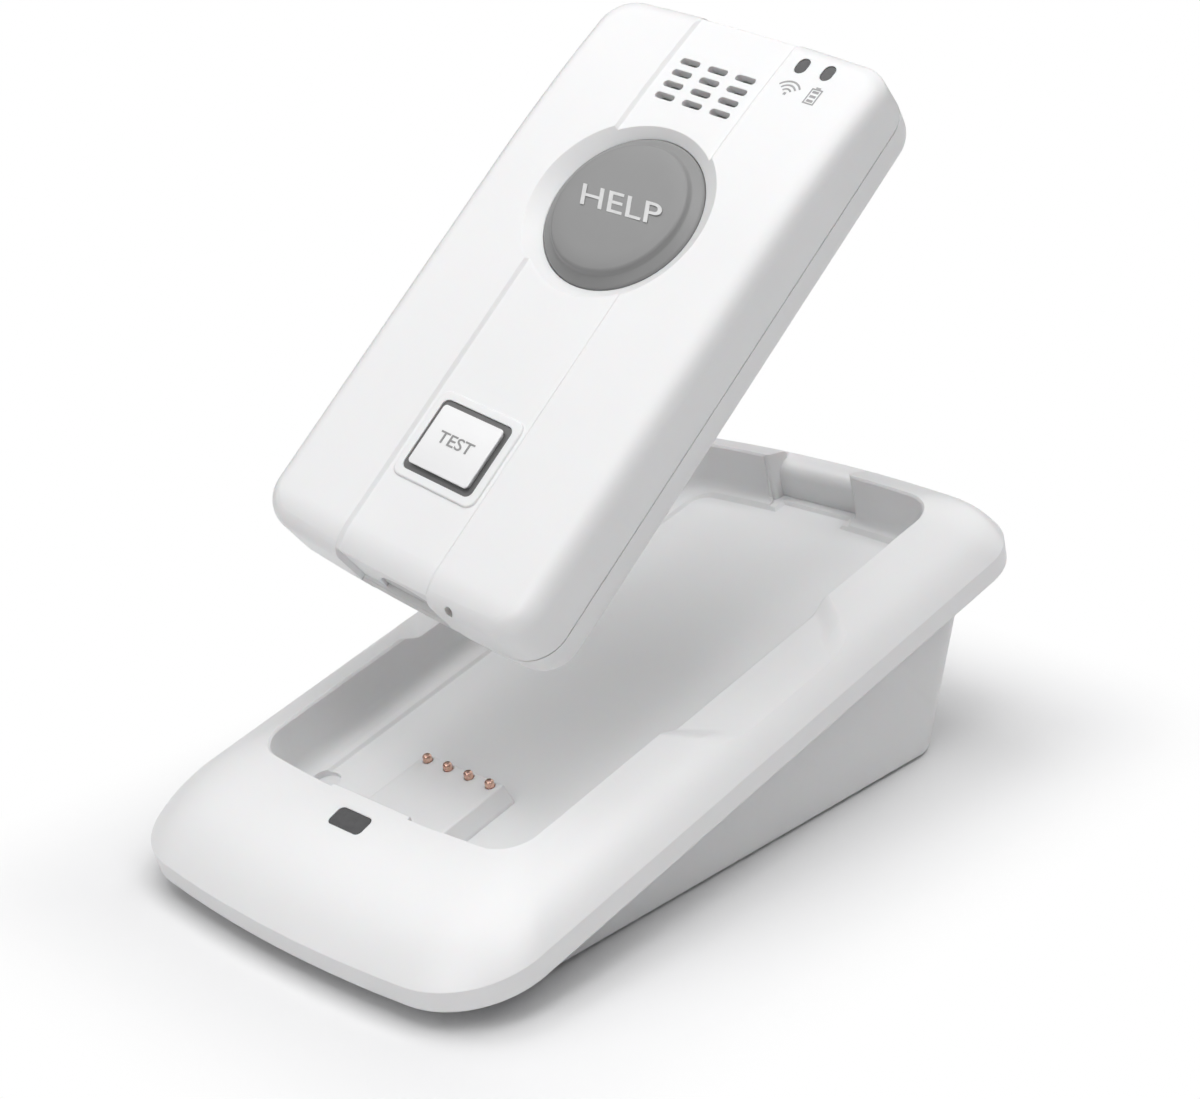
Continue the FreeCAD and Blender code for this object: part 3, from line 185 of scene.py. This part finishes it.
def mottle_group():
    """Faint uneven tone of a moulded or printed surface."""
    group = new_group("soft_mottle", [("Mask", "NodeSocketFloat")])
    group_input(group, "Scale", 60.0)
    nodes, links = group.nodes, group.links
    source = nodes.new("NodeGroupInput")
    sink = nodes.new("NodeGroupOutput")
    place = nodes.new("ShaderNodeTexCoord")
    broad = nodes.new("ShaderNodeTexNoise")
    broad.inputs["Detail"].default_value = 3.0
    links.new(place.outputs["Object"], broad.inputs["Vector"])
    links.new(source.outputs["Scale"], broad.inputs["Scale"])
    links.new(broad.outputs["Fac"], sink.inputs["Mask"])
    return group


def grain_group():
    """Very fine moulded grain over rounded edges, as a normal."""
    group = new_group("moulded_grain", [("Normal", "NodeSocketVector")])
    group_input(group, "Scale", 4000.0)
    group_input(group, "Depth", 0.02)
    group_input(group, "Edge", 0.0002)
    nodes, links = group.nodes, group.links
    source = nodes.new("NodeGroupInput")
    sink = nodes.new("NodeGroupOutput")
    place = nodes.new("ShaderNodeTexCoord")
    noise = nodes.new("ShaderNodeTexNoise")
    noise.inputs["Detail"].default_value = 2.0
    edge = nodes.new("ShaderNodeBevel")
    edge.samples = 6
    bump = nodes.new("ShaderNodeBump")
    bump.inputs["Distance"].default_value = GRAIN_HEIGHT
    links.new(place.outputs["Object"], noise.inputs["Vector"])
    links.new(source.outputs["Scale"], noise.inputs["Scale"])
    links.new(source.outputs["Edge"], edge.inputs["Radius"])
    links.new(source.outputs["Depth"], bump.inputs["Strength"])
    links.new(noise.outputs["Fac"], bump.inputs["Height"])
    links.new(edge.outputs["Normal"], bump.inputs["Normal"])
    links.new(bump.outputs["Normal"], sink.inputs["Normal"])
    return group


def group_node(material, name, maker):
    """The shared group placed in a material, built on its first use."""
    node = material.node_tree.nodes.new("ShaderNodeGroup")
    node.node_tree = bpy.data.node_groups.get(name) or maker()
    return node


def surface(name, dark, light, rough, metallic=0.0, mottle=60.0, grain=4000.0, depth=0.02, edge=0.0002,
            coat=0.0, scatter=0.0):
    """One procedural material: colour and roughness follow the mottle, the normal follows the grain."""
    material = bpy.data.materials.new(name)
    material.use_nodes = True
    tree = material.node_tree
    shader = tree.nodes["Principled BSDF"]
    tone = group_node(material, "soft_mottle", mottle_group)
    tone.inputs["Scale"].default_value = mottle
    fine = group_node(material, "moulded_grain", grain_group)
    fine.inputs["Scale"].default_value = grain
    fine.inputs["Depth"].default_value = depth
    fine.inputs["Edge"].default_value = edge
    ramp = tree.nodes.new("ShaderNodeValToRGB")
    ramp.color_ramp.elements[0].position = 0.3
    ramp.color_ramp.elements[1].position = 0.7
    ramp.color_ramp.elements[0].color = (*dark, 1)
    ramp.color_ramp.elements[1].color = (*light, 1)
    spread = tree.nodes.new("ShaderNodeMapRange")
    spread.inputs["To Min"].default_value = rough - ROUGH_SPREAD
    spread.inputs["To Max"].default_value = rough + ROUGH_SPREAD
    tree.links.new(tone.outputs["Mask"], ramp.inputs["Fac"])
    tree.links.new(tone.outputs["Mask"], spread.inputs["Value"])
    tree.links.new(ramp.outputs["Color"], shader.inputs["Base Color"])
    tree.links.new(spread.outputs["Result"], shader.inputs["Roughness"])
    tree.links.new(fine.outputs["Normal"], shader.inputs["Normal"])
    shader.inputs["Metallic"].default_value = metallic
    shader.inputs["Coat Weight"].default_value = coat
    shader.inputs["Coat Roughness"].default_value = COAT_ROUGH
    if scatter:
        shader.inputs["Subsurface Weight"].default_value = scatter
        shader.inputs["Subsurface Scale"].default_value = SCATTER_DEPTH
    return material


def shade(colour, share):
    """The colour made lighter or darker by a share, kept under full white."""
    return tuple(min(1.0, c * share) for c in colour)


def paint(material, *names):
    """Gives the named CAD nodes the material, and touches nothing else of them."""
    for name in names:
        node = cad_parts.get(name)
        if node is None:
            raise RuntimeError("no CAD node named " + name)
        node.data.materials.clear()
        node.data.materials.append(material)


# ---- modelling helpers ----
WORD_HALF_HEIGHT = 0.05 * MM
BAR_HEIGHT = 0.04 * MM
ARC_FLATNESS = 0.12
WELD = 0.002 * MM


def deselect():
    if bpy.context.mode != "OBJECT":
        bpy.ops.object.mode_set(mode="OBJECT")
    bpy.ops.object.select_all(action="DESELECT")


def take(name):
    """Names the active object and its mesh."""
    obj = bpy.context.object
    obj.name = name
    obj.data.name = name
    return obj


def flat_word(name, text, size, shear, stretch, bold):
    """A word as a thin mesh slab, centred on its own origin; stretch widens it, bold thickens its strokes."""
    deselect()
    bpy.ops.object.text_add(location=(0, 0, 0))
    obj = take(name)
    obj.data.body = text
    obj.data.size = size
    obj.data.shear = shear
    obj.data.align_x = "CENTER"
    obj.data.align_y = "CENTER"
    obj.data.resolution_u = 6
    obj.data.offset = size * bold
    obj.data.extrude = WORD_HALF_HEIGHT
    bpy.ops.object.convert(target="MESH")
    obj = take(name)
    bpy.ops.object.mode_set(mode="EDIT")
    bpy.ops.mesh.select_all(action="SELECT")
    bpy.ops.mesh.remove_doubles(threshold=WELD)
    bpy.ops.object.mode_set(mode="OBJECT")
    bpy.ops.transform.resize(value=(stretch, 1, 1), center_override=(0, 0, 0))
    bpy.ops.object.transform_apply(location=False, rotation=False, scale=True)
    return obj


def arc_piece(name, radius, width, start, end):
    """Part of a flat ring, drawn as a thin torus cut by two planes through its middle."""
    deselect()
    bpy.ops.mesh.primitive_torus_add(
        major_radius=radius, minor_radius=width / 2, major_segments=48, minor_segments=8)
    obj = take(name)
    bpy.ops.object.mode_set(mode="EDIT")
    for angle, turn in ((start, 1), (end, -1)):
        bpy.ops.mesh.select_all(action="SELECT")
        normal = (-math.sin(angle) * turn, math.cos(angle) * turn, 0)
        bpy.ops.mesh.bisect(
            plane_co=(0, 0, 0), plane_no=normal, use_fill=True, clear_inner=True, threshold=1e-7)
    bpy.ops.mesh.select_all(action="SELECT")
    bpy.ops.transform.resize(value=(1, 1, ARC_FLATNESS), center_override=(0, 0, 0))
    bpy.ops.object.mode_set(mode="OBJECT")
    return obj


def turned_piece(name, loops):
    """A closed round piece: a ring carried through the (radius, height) loops and filled at both ends."""
    deselect()
    radius, height = loops[0]
    bpy.ops.mesh.primitive_circle_add(vertices=128, radius=radius, fill_type="NGON", location=(0, 0, 0))
    obj = take(name)
    bpy.ops.object.mode_set(mode="EDIT")
    bpy.ops.mesh.select_all(action="SELECT")
    bpy.ops.transform.translate(value=(0, 0, height))
    for next_radius, next_height in loops[1:]:
        rise = next_height - height
        bpy.ops.mesh.extrude_region_move(TRANSFORM_OT_translate={"value": (0, 0, rise)})
        share = next_radius / radius
        bpy.ops.transform.resize(value=(share, share, 1), center_override=(0, 0, 0))
        radius, height = next_radius, next_height
    bpy.ops.mesh.select_all(action="SELECT")
    bpy.ops.mesh.normals_make_consistent(inside=False)
    bpy.ops.object.mode_set(mode="OBJECT")
    bpy.ops.object.shade_smooth_by_angle(angle=math.radians(50))
    return obj


def soft_slab(name, half_x, half_y, corner, low, high, edge):
    """A slab with round corners and, where edge is more than nothing, a rounded upper edge."""
    deselect()
    bpy.ops.mesh.primitive_plane_add(size=2, location=(0, 0, low))
    obj = take(name)
    bpy.ops.transform.resize(value=(half_x, half_y, 1), center_override=(0, 0, low))
    bpy.ops.object.transform_apply(location=True, rotation=True, scale=True)
    bpy.ops.object.mode_set(mode="EDIT")
    bpy.ops.mesh.select_all(action="SELECT")
    bpy.ops.mesh.bevel(offset=corner, segments=8, affect="VERTICES")
    bpy.ops.mesh.extrude_region_move(TRANSFORM_OT_translate={"value": (0, 0, high - low)})
    if edge:
        bpy.ops.mesh.region_to_loop()
        bpy.ops.mesh.bevel(offset=edge, segments=4, affect="EDGES")
    bpy.ops.mesh.select_all(action="SELECT")
    bpy.ops.mesh.normals_make_consistent(inside=False)
    bpy.ops.object.mode_set(mode="OBJECT")
    bpy.ops.object.shade_smooth_by_angle(angle=math.radians(40))
    return obj


def bar_piece(name, x, y, width, length):
    """A thin flat bar lying on its own origin's plane."""
    deselect()
    bpy.ops.mesh.primitive_cube_add(size=1, location=(x, y, 0), scale=(width, length, BAR_HEIGHT))
    obj = take(name)
    bpy.ops.object.transform_apply(location=True, rotation=True, scale=True)
    return obj


def join(name, parts):
    """Joins the parts into one piece."""
    deselect()
    for part in parts:
        part.select_set(True)
    bpy.context.view_layer.objects.active = parts[0]
    bpy.ops.object.join()
    return take(name)


def seat(obj, place, body, material):
    """Puts the piece in the world with its object at the origin, and lets it ride on its body."""
    deselect()
    obj.select_set(True)
    bpy.context.view_layer.objects.active = obj
    obj.matrix_world = place
    bpy.ops.object.transform_apply(location=True, rotation=True, scale=True)
    obj.data.materials.clear()
    obj.data.materials.append(material)
    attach(obj, body)
    return obj


# ---- finishes of the CAD pieces ----
class ALERT_OT_shells(bpy.types.Operator):
    """Paint the white mouldings of the cradle and the handset"""
    bl_idname = "alert.shells"
    bl_label = "White Shells"

    def execute(self, context):
        look = context.scene.alert_finish
        colour = tuple(look.shell_colour)
        white = surface("white_shell", shade(colour, 0.99), shade(colour, 1.01), look.shell_gloss,
                        edge=look.edge_radius, mottle=35.0, scatter=0.08)
        paint(white, "cradle_top", "wedge_base", "handset_front", "handset_back")
        plate = surface("white_plate", shade(colour, 0.94), shade(colour, 0.97), 0.5, grain=1500.0,
                        depth=0.08)
        paint(plate, "bottom_plate")
        return {"FINISHED"}


class ALERT_OT_controls(bpy.types.Operator):
    """Paint the test frame, the windows and the port cover"""
    bl_idname = "alert.controls"
    bl_label = "Controls"

    def execute(self, context):
        paint(surface("grey_frame", (0.12, 0.12, 0.12), (0.14, 0.14, 0.14), 0.35, mottle=300.0), "test_frame")
        smoked = surface("smoked_window", (0.022, 0.022, 0.024), (0.036, 0.036, 0.038), 0.22, mottle=900.0,
                         coat=0.1)
        paint(smoked, "charge_window", "status_window_1", "status_window_2")
        paint(surface("grey_cover", (0.56, 0.56, 0.56), (0.6, 0.6, 0.6), 0.5), "port_cover")
        return {"FINISHED"}


class ALERT_OT_metals(bpy.types.Operator):
    """Paint the contacts, screws and sockets"""
    bl_idname = "alert.metals"
    bl_label = "Contacts and Screws"

    def execute(self, context):
        copper = surface("copper_contact", (0.72, 0.44, 0.34), (0.84, 0.56, 0.46), 0.28, metallic=1.0,
                         mottle=2500.0)
        paint(copper, "contact_pin_1", "contact_pin_2", "contact_pin_3", "contact_pin_4")
        gold = surface("gold_contact", (0.75, 0.55, 0.22), (0.85, 0.66, 0.3), 0.25, metallic=1.0,
                       mottle=1500.0)
        paint(gold, "charge_pads", "pin_barrels")
        steel = surface("screw_steel", (0.4, 0.4, 0.41), (0.55, 0.55, 0.56), 0.32, metallic=1.0,
                        mottle=1200.0)
        paint(steel, "base_screws", "board_screws", "handset_screws")
        plated = surface("inlet_metal", (0.45, 0.45, 0.46), (0.6, 0.6, 0.61), 0.3, metallic=1.0, mottle=800.0)
        paint(plated, "power_inlet", "port_socket", "radio_module", "microphone")
        return {"FINISHED"}


class ALERT_OT_inner(bpy.types.Operator):
    """Paint the feet and the inner pieces"""
    bl_idname = "alert.inner"
    bl_label = "Feet and Inner Pieces"

    def execute(self, context):
        rubber = surface("foot_rubber", (0.05, 0.05, 0.052), (0.075, 0.075, 0.077), 0.8, grain=900.0,
                         depth=0.3)
        paint(rubber, "rubber_feet")
        green = surface("board_green", (0.012, 0.07, 0.03), (0.02, 0.11, 0.045), 0.45, mottle=400.0)
        paint(green, "cradle_board", "handset_board")
        black = surface("black_plastic", (0.02, 0.02, 0.02), (0.035, 0.035, 0.035), 0.5)
        paint(black, "contact_block", "speaker", "help_switch", "test_switch")
        paint(surface("battery_wrap", (0.05, 0.07, 0.14), (0.08, 0.1, 0.19), 0.4), "battery")
        cloth = surface("speaker_cloth", (0.12, 0.12, 0.12), (0.2, 0.2, 0.2), 0.8, grain=1800.0, depth=0.6)
        paint(cloth, "speaker_mesh")
        paint(surface("led_body", (0.6, 0.62, 0.55), (0.7, 0.72, 0.64), 0.3), "charge_led", "status_leds")
        return {"FINISHED"}


# ---- round button and test key ----
BUTTON_FLANGE = 0.9 * MM
BUTTON_FLANGE_LOW = 2.5 * MM
BUTTON_FLANGE_HIGH = 1.65 * MM
BUTTON_CROWN = 0.18 * MM
BUTTON_CROWN_R = (8.0, 6.0, 4.0, 2.0)


def button_loops():
    """The (radius, height) loops of the round button: flange, wall, rounded rim, step and low crown."""
    lip = -HELP_RIM
    flange_r = HELP_R + BUTTON_FLANGE
    flange = [(flange_r, lip - BUTTON_FLANGE_LOW), (flange_r, lip - BUTTON_FLANGE_HIGH)]
    wall = [(HELP_R, lip - 1.6 * MM), (HELP_R, lip - 0.1 * MM)]
    rim = [(HELP_R - 0.12 * MM, lip + 0.2 * MM), (HELP_R - 0.4 * MM, lip + 0.42 * MM)]
    step = [(HELP_TOP_R + 0.5 * MM, lip + 0.95 * MM), (HELP_TOP_R + 0.28 * MM, lip + 1.1 * MM)]
    edge = [(HELP_TOP_R + 0.14 * MM, HELP_PROUD - 0.45 * MM),
            (HELP_TOP_R - 0.05 * MM, HELP_PROUD - 0.13 * MM),
            (HELP_TOP_R - 0.4 * MM, HELP_PROUD)]
    crown = [(radius * MM, HELP_PROUD + BUTTON_CROWN * (1 - (radius / BUTTON_CROWN_R[0]) ** 2))
             for radius in BUTTON_CROWN_R]
    return flange + wall + rim + step + edge + crown


class ALERT_OT_round_button(bpy.types.Operator):
    """Add the round help button with its stepped rim"""
    bl_idname = "alert.round_button"
    bl_label = "Round Button"

    def execute(self, context):
        grey = tuple(context.scene.alert_finish.button_colour)
        button = turned_piece("round_button", button_loops())
        plastic = surface("grey_button", shade(grey, 0.98), shade(grey, 1.02), 0.45, mottle=120.0)
        place = handset_place() @ Matrix.Translation((0, HELP_B, 0))
        seat(button, place, "help_button", plastic)
        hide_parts("help_button")
        return {"FINISHED"}


class ALERT_OT_test_key(bpy.types.Operator):
    """Add the raised test key"""
    bl_idname = "alert.test_key"
    bl_label = "Test Key"

    def execute(self, context):
        wide, long = KEY_HALF_A + KEY_CAP_GAIN, KEY_HALF_B + KEY_CAP_GAIN
        stem = soft_slab("key_stem", KEY_HALF_A, KEY_HALF_B, KEY_CORNER, KEY_FOOT, KEY_CAP_LOW, 0.0)
        cap = soft_slab("key_cap", wide, long, KEY_CORNER, KEY_CAP_LOW, KEY_TOP, KEY_EDGE)
        key = join("test_key", [stem, cap])
        white = surface("white_key", (0.82, 0.82, 0.825), (0.84, 0.84, 0.845), 0.3)
        seat(key, face_place(0, KEY_B, 0), "test_button", white)
        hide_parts("test_button")
        return {"FINISHED"}


# ---- legends ----
# each place is (across, from the bottom end, above the face)
HELP_WORD_AT = (1.0 * MM, 63.5 * MM, 0.68 * MM)
HELP_SLANT = -0.3
HELP_STRETCH = 1.46
HELP_BOLD = 0.004
TEST_WORD_AT = (-0.2 * MM, 21.7 * MM, 0.86 * MM)
TEST_STRETCH = 1.2
TEST_BOLD = 0.006
SIGNAL_AT = (13.1 * MM, 88.4 * MM, WING)
WAVE_R = 0.85 * MM
WAVE_STEP = 0.7 * MM
WAVE_WIDTH = 0.3 * MM
WAVE_FROM = math.radians(35)
WAVE_TO = math.radians(145)
DOT_SIZE = 0.45 * MM
CELL_AT = (17.6 * MM, 89.2 * MM, WING)
CELL_HALF = 0.85 * MM
CELL_TALL = 2.6 * MM
CELL_LINE = 0.22 * MM
NUB_WIDTH = 0.8 * MM
NUB_TALL = 0.3 * MM
NUB_RISE = 0.26 * MM
CHARGE_STEP = 0.8 * MM
CHARGE_WIDTH = 1.05 * MM
CHARGE_TALL = 0.42 * MM


class ALERT_OT_help_word(bpy.types.Operator):
    """Add the word on the round button"""
    bl_idname = "alert.help_word"
    bl_label = "Help Word"

    def execute(self, context):
        legend = context.scene.alert_legend
        ink = surface("pale_ink", (0.6, 0.6, 0.6), (0.66, 0.66, 0.66), 0.45, mottle=900.0, edge=0.0)
        word = flat_word("help_word", legend.help_text, legend.help_height, HELP_SLANT, HELP_STRETCH,
                         HELP_BOLD)
        seat(word, face_place(*HELP_WORD_AT, legend.help_spin), "help_button", ink)
        return {"FINISHED"}


class ALERT_OT_test_word(bpy.types.Operator):
    """Add the word on the test key"""
    bl_idname = "alert.test_word"
    bl_label = "Test Word"

    def execute(self, context):
        legend = context.scene.alert_legend
        ink = surface("grey_ink", (0.25, 0.25, 0.25), (0.3, 0.3, 0.3), 0.5, mottle=900.0, edge=0.0)
        word = flat_word("test_word", legend.test_text, legend.test_height, 0.0, TEST_STRETCH, TEST_BOLD)
        seat(word, face_place(*TEST_WORD_AT), "test_button", ink)
        return {"FINISHED"}


class ALERT_OT_icons(bpy.types.Operator):
    """Add the signal and battery pictures under the status windows"""
    bl_idname = "alert.icons"
    bl_label = "Status Pictures"

    def execute(self, context):
        ink = surface("icon_ink", (0.3, 0.3, 0.3), (0.36, 0.36, 0.36), 0.5, mottle=900.0, edge=0.0)
        waves = [arc_piece("wave_" + str(i), WAVE_R + i * WAVE_STEP, WAVE_WIDTH, WAVE_FROM, WAVE_TO)
                 for i in range(3)]
        dot = bar_piece("wave_dot", 0, 0, DOT_SIZE, DOT_SIZE)
        signal = join("signal_picture", waves + [dot])
        seat(signal, face_place(*SIGNAL_AT), "handset", ink)
        across = 2 * CELL_HALF + CELL_LINE
        bars = [bar_piece("case_l", -CELL_HALF, 0, CELL_LINE, CELL_TALL),
                bar_piece("case_r", CELL_HALF, 0, CELL_LINE, CELL_TALL),
                bar_piece("case_b", 0, -CELL_TALL / 2, across, CELL_LINE),
                bar_piece("case_t", 0, CELL_TALL / 2, across, CELL_LINE),
                bar_piece("case_nub", 0, CELL_TALL / 2 + NUB_RISE, NUB_WIDTH, NUB_TALL)]
        bars += [bar_piece("charge_" + str(i), 0, (i - 1) * CHARGE_STEP, CHARGE_WIDTH, CHARGE_TALL)
                 for i in range(3)]
        cell = join("battery_picture", bars)
        seat(cell, face_place(*CELL_AT), "handset", ink)
        return {"FINISHED"}


# ---- stage ----
SENSOR_WIDTH = 36
CAMERA_NEAR = 0.01
LAMP_DISTANCE = 0.9
LAMP_AIM = Vector((0, 0, 0.05))
# each lamp: name, azimuth and elevation in degrees, side in metres, setting that holds its level
LAMPS = (("top_softbox", 0, 86, 0.8, "top_level"), ("front_softbox", 5, 38, 0.6, "front_level"),
         ("rear_softbox", 178, 32, 0.8, "rear_level"), ("left_softbox", -80, 58, 0.7, "left_level"),
         ("right_softbox", 85, 58, 0.7, "right_level"))


def outward(azimuth, elevation):
    """Unit direction from the object towards a heading and a height above the horizon."""
    return Vector((math.sin(azimuth) * math.cos(elevation), -math.cos(azimuth) * math.cos(elevation),
                   math.sin(elevation)))


def softbox(name, azimuth, elevation, size, share):
    """Square lamp aimed at the object; share 1 alone would show white as white on a surface that faces it."""
    away = outward(math.radians(azimuth), math.radians(elevation))
    deselect()
    bpy.ops.object.light_add(type="AREA", location=LAMP_AIM + away * LAMP_DISTANCE)
    lamp = bpy.context.object
    lamp.name = name
    lamp.data.size = size
    lamp.data.energy = share * (math.pi * LAMP_DISTANCE) ** 2
    lamp.rotation_euler = away.to_track_quat("Z", "Y").to_euler()


def floor_material(reach):
    """Pale floor that keeps the shadow round the cradle and fades to white farther out, for the camera."""
    pale = bpy.data.materials.new("pale_floor")
    pale.use_nodes = True
    tree = pale.node_tree
    nodes, links = tree.nodes, tree.links
    shader = nodes["Principled BSDF"]
    shader.inputs["Base Color"].default_value = (0.8, 0.8, 0.805, 1)
    shader.inputs["Roughness"].default_value = 0.9
    path = nodes.new("ShaderNodeLightPath")
    place = nodes.new("ShaderNodeTexCoord")
    mirrored = nodes.new("ShaderNodeVectorMath")
    mirrored.operation = "ABSOLUTE"
    outside = nodes.new("ShaderNodeVectorMath")
    outside.operation = "SUBTRACT"
    outside.inputs[1].default_value = CRADLE_HALF
    clear = nodes.new("ShaderNodeVectorMath")
    clear.operation = "MAXIMUM"
    length = nodes.new("ShaderNodeVectorMath")
    length.operation = "LENGTH"
    share = nodes.new("ShaderNodeMapRange")
    share.interpolation_type = "SMOOTHSTEP"
    share.inputs["From Min"].default_value = 0.0
    share.inputs["From Max"].default_value = reach
    links.new(place.outputs["Object"], mirrored.inputs[0])
    links.new(mirrored.outputs["Vector"], outside.inputs[0])
    links.new(outside.outputs["Vector"], clear.inputs[0])
    links.new(clear.outputs["Vector"], length.inputs[0])
    links.new(length.outputs["Value"], share.inputs["Value"])
    seen = nodes.new("ShaderNodeMath")
    seen.operation = "MULTIPLY"
    links.new(share.outputs["Result"], seen.inputs[0])
    links.new(path.outputs["Is Camera Ray"], seen.inputs[1])
    plain = nodes.new("ShaderNodeEmission")
    mixed = nodes.new("ShaderNodeMixShader")
    links.new(seen.outputs["Value"], mixed.inputs["Fac"])
    links.new(shader.outputs["BSDF"], mixed.inputs[1])
    links.new(plain.outputs["Emission"], mixed.inputs[2])
    links.new(mixed.outputs["Shader"], nodes["Material Output"].inputs["Surface"])
    return pale


def white_surround(scene, level):
    """White behind the object for the camera, and only a faint glow as light."""
    world = bpy.data.worlds.new("white_surround")
    scene.world = world
    world.use_nodes = True
    nodes, links = world.node_tree.nodes, world.node_tree.links
    back = nodes["Background"]
    path = nodes.new("ShaderNodeLightPath")
    strength = nodes.new("ShaderNodeMix")
    strength.inputs["A"].default_value = level
    strength.inputs["B"].default_value = 1.0
    links.new(path.outputs["Is Camera Ray"], strength.inputs["Factor"])
    links.new(strength.outputs["Result"], back.inputs["Strength"])
    back.inputs["Color"].default_value = (1, 1, 1, 1)


def studio_camera(scene, look):
    """Camera turned by heading, height and roll, at its own place."""
    bpy.ops.object.camera_add()
    camera = bpy.context.object
    camera.name = "studio_camera"
    away = outward(look.azimuth, look.elevation)
    right = Vector((math.cos(look.azimuth), math.sin(look.azimuth), 0))
    up = away.cross(right)
    turned = right * math.cos(look.roll) + up * math.sin(look.roll)
    upright = up * math.cos(look.roll) - right * math.sin(look.roll)
    camera.matrix_world = Matrix((turned, upright, away)).transposed().to_4x4()
    camera.location = look.camera_place
    camera.data.sensor_width = SENSOR_WIDTH
    camera.data.lens = look.lens
    camera.data.clip_start = CAMERA_NEAR
    scene.camera = camera


class ALERT_OT_stage(bpy.types.Operator):
    """Add the floor, the lights, the surround and the camera"""
    bl_idname = "alert.stage"
    bl_label = "Studio Stage"

    def execute(self, context):
        look = context.scene.alert_stage
        deselect()
        bpy.ops.mesh.primitive_plane_add(size=look.floor_size, location=(0, 0, 0))
        floor = take("studio_floor")
        floor.data.materials.append(floor_material(look.shadow_reach))
        white_surround(context.scene, look.world_level)
        for name, azimuth, elevation, size, level in LAMPS:
            softbox(name, azimuth, elevation, size, getattr(look, level))
        studio_camera(context.scene, look)
        context.scene.view_settings.view_transform = "Standard"
        return {"FINISHED"}


class ALERT_PT_panel(bpy.types.Panel):
    """Settings and steps of the alert station"""
    bl_idname = "ALERT_PT_panel"
    bl_label = "Alert Station"
    bl_space_type = "VIEW_3D"
    bl_region_type = "UI"
    bl_category = "Alert Station"

    def draw(self, context):
        for group in (context.scene.alert_finish, context.scene.alert_legend, context.scene.alert_stage):
            box = self.layout.box()
            for name in group.__annotations__:
                box.prop(group, name)
        for step in STEPS:
            self.layout.operator(step.bl_idname)


STEPS = (ALERT_OT_shells, ALERT_OT_controls, ALERT_OT_metals, ALERT_OT_inner, ALERT_OT_round_button,
         ALERT_OT_test_key, ALERT_OT_help_word, ALERT_OT_test_word, ALERT_OT_icons, ALERT_OT_stage)
CLASSES = (ALERT_PG_finish, ALERT_PG_legend, ALERT_PG_stage) + STEPS + (ALERT_PT_panel,)


def register():
    for item in CLASSES:
        bpy.utils.register_class(item)
    bpy.types.Scene.alert_finish = PointerProperty(type=ALERT_PG_finish)
    bpy.types.Scene.alert_legend = PointerProperty(type=ALERT_PG_legend)
    bpy.types.Scene.alert_stage = PointerProperty(type=ALERT_PG_stage)


def unregister():
    del bpy.types.Scene.alert_stage
    del bpy.types.Scene.alert_legend
    del bpy.types.Scene.alert_finish
    for item in reversed(CLASSES):
        bpy.utils.unregister_class(item)


def main():
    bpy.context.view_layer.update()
    register()
    for step in STEPS:
        group, name = step.bl_idname.split(".")
        getattr(getattr(bpy.ops, group), name)()


if __name__ == "__main__":
    main()
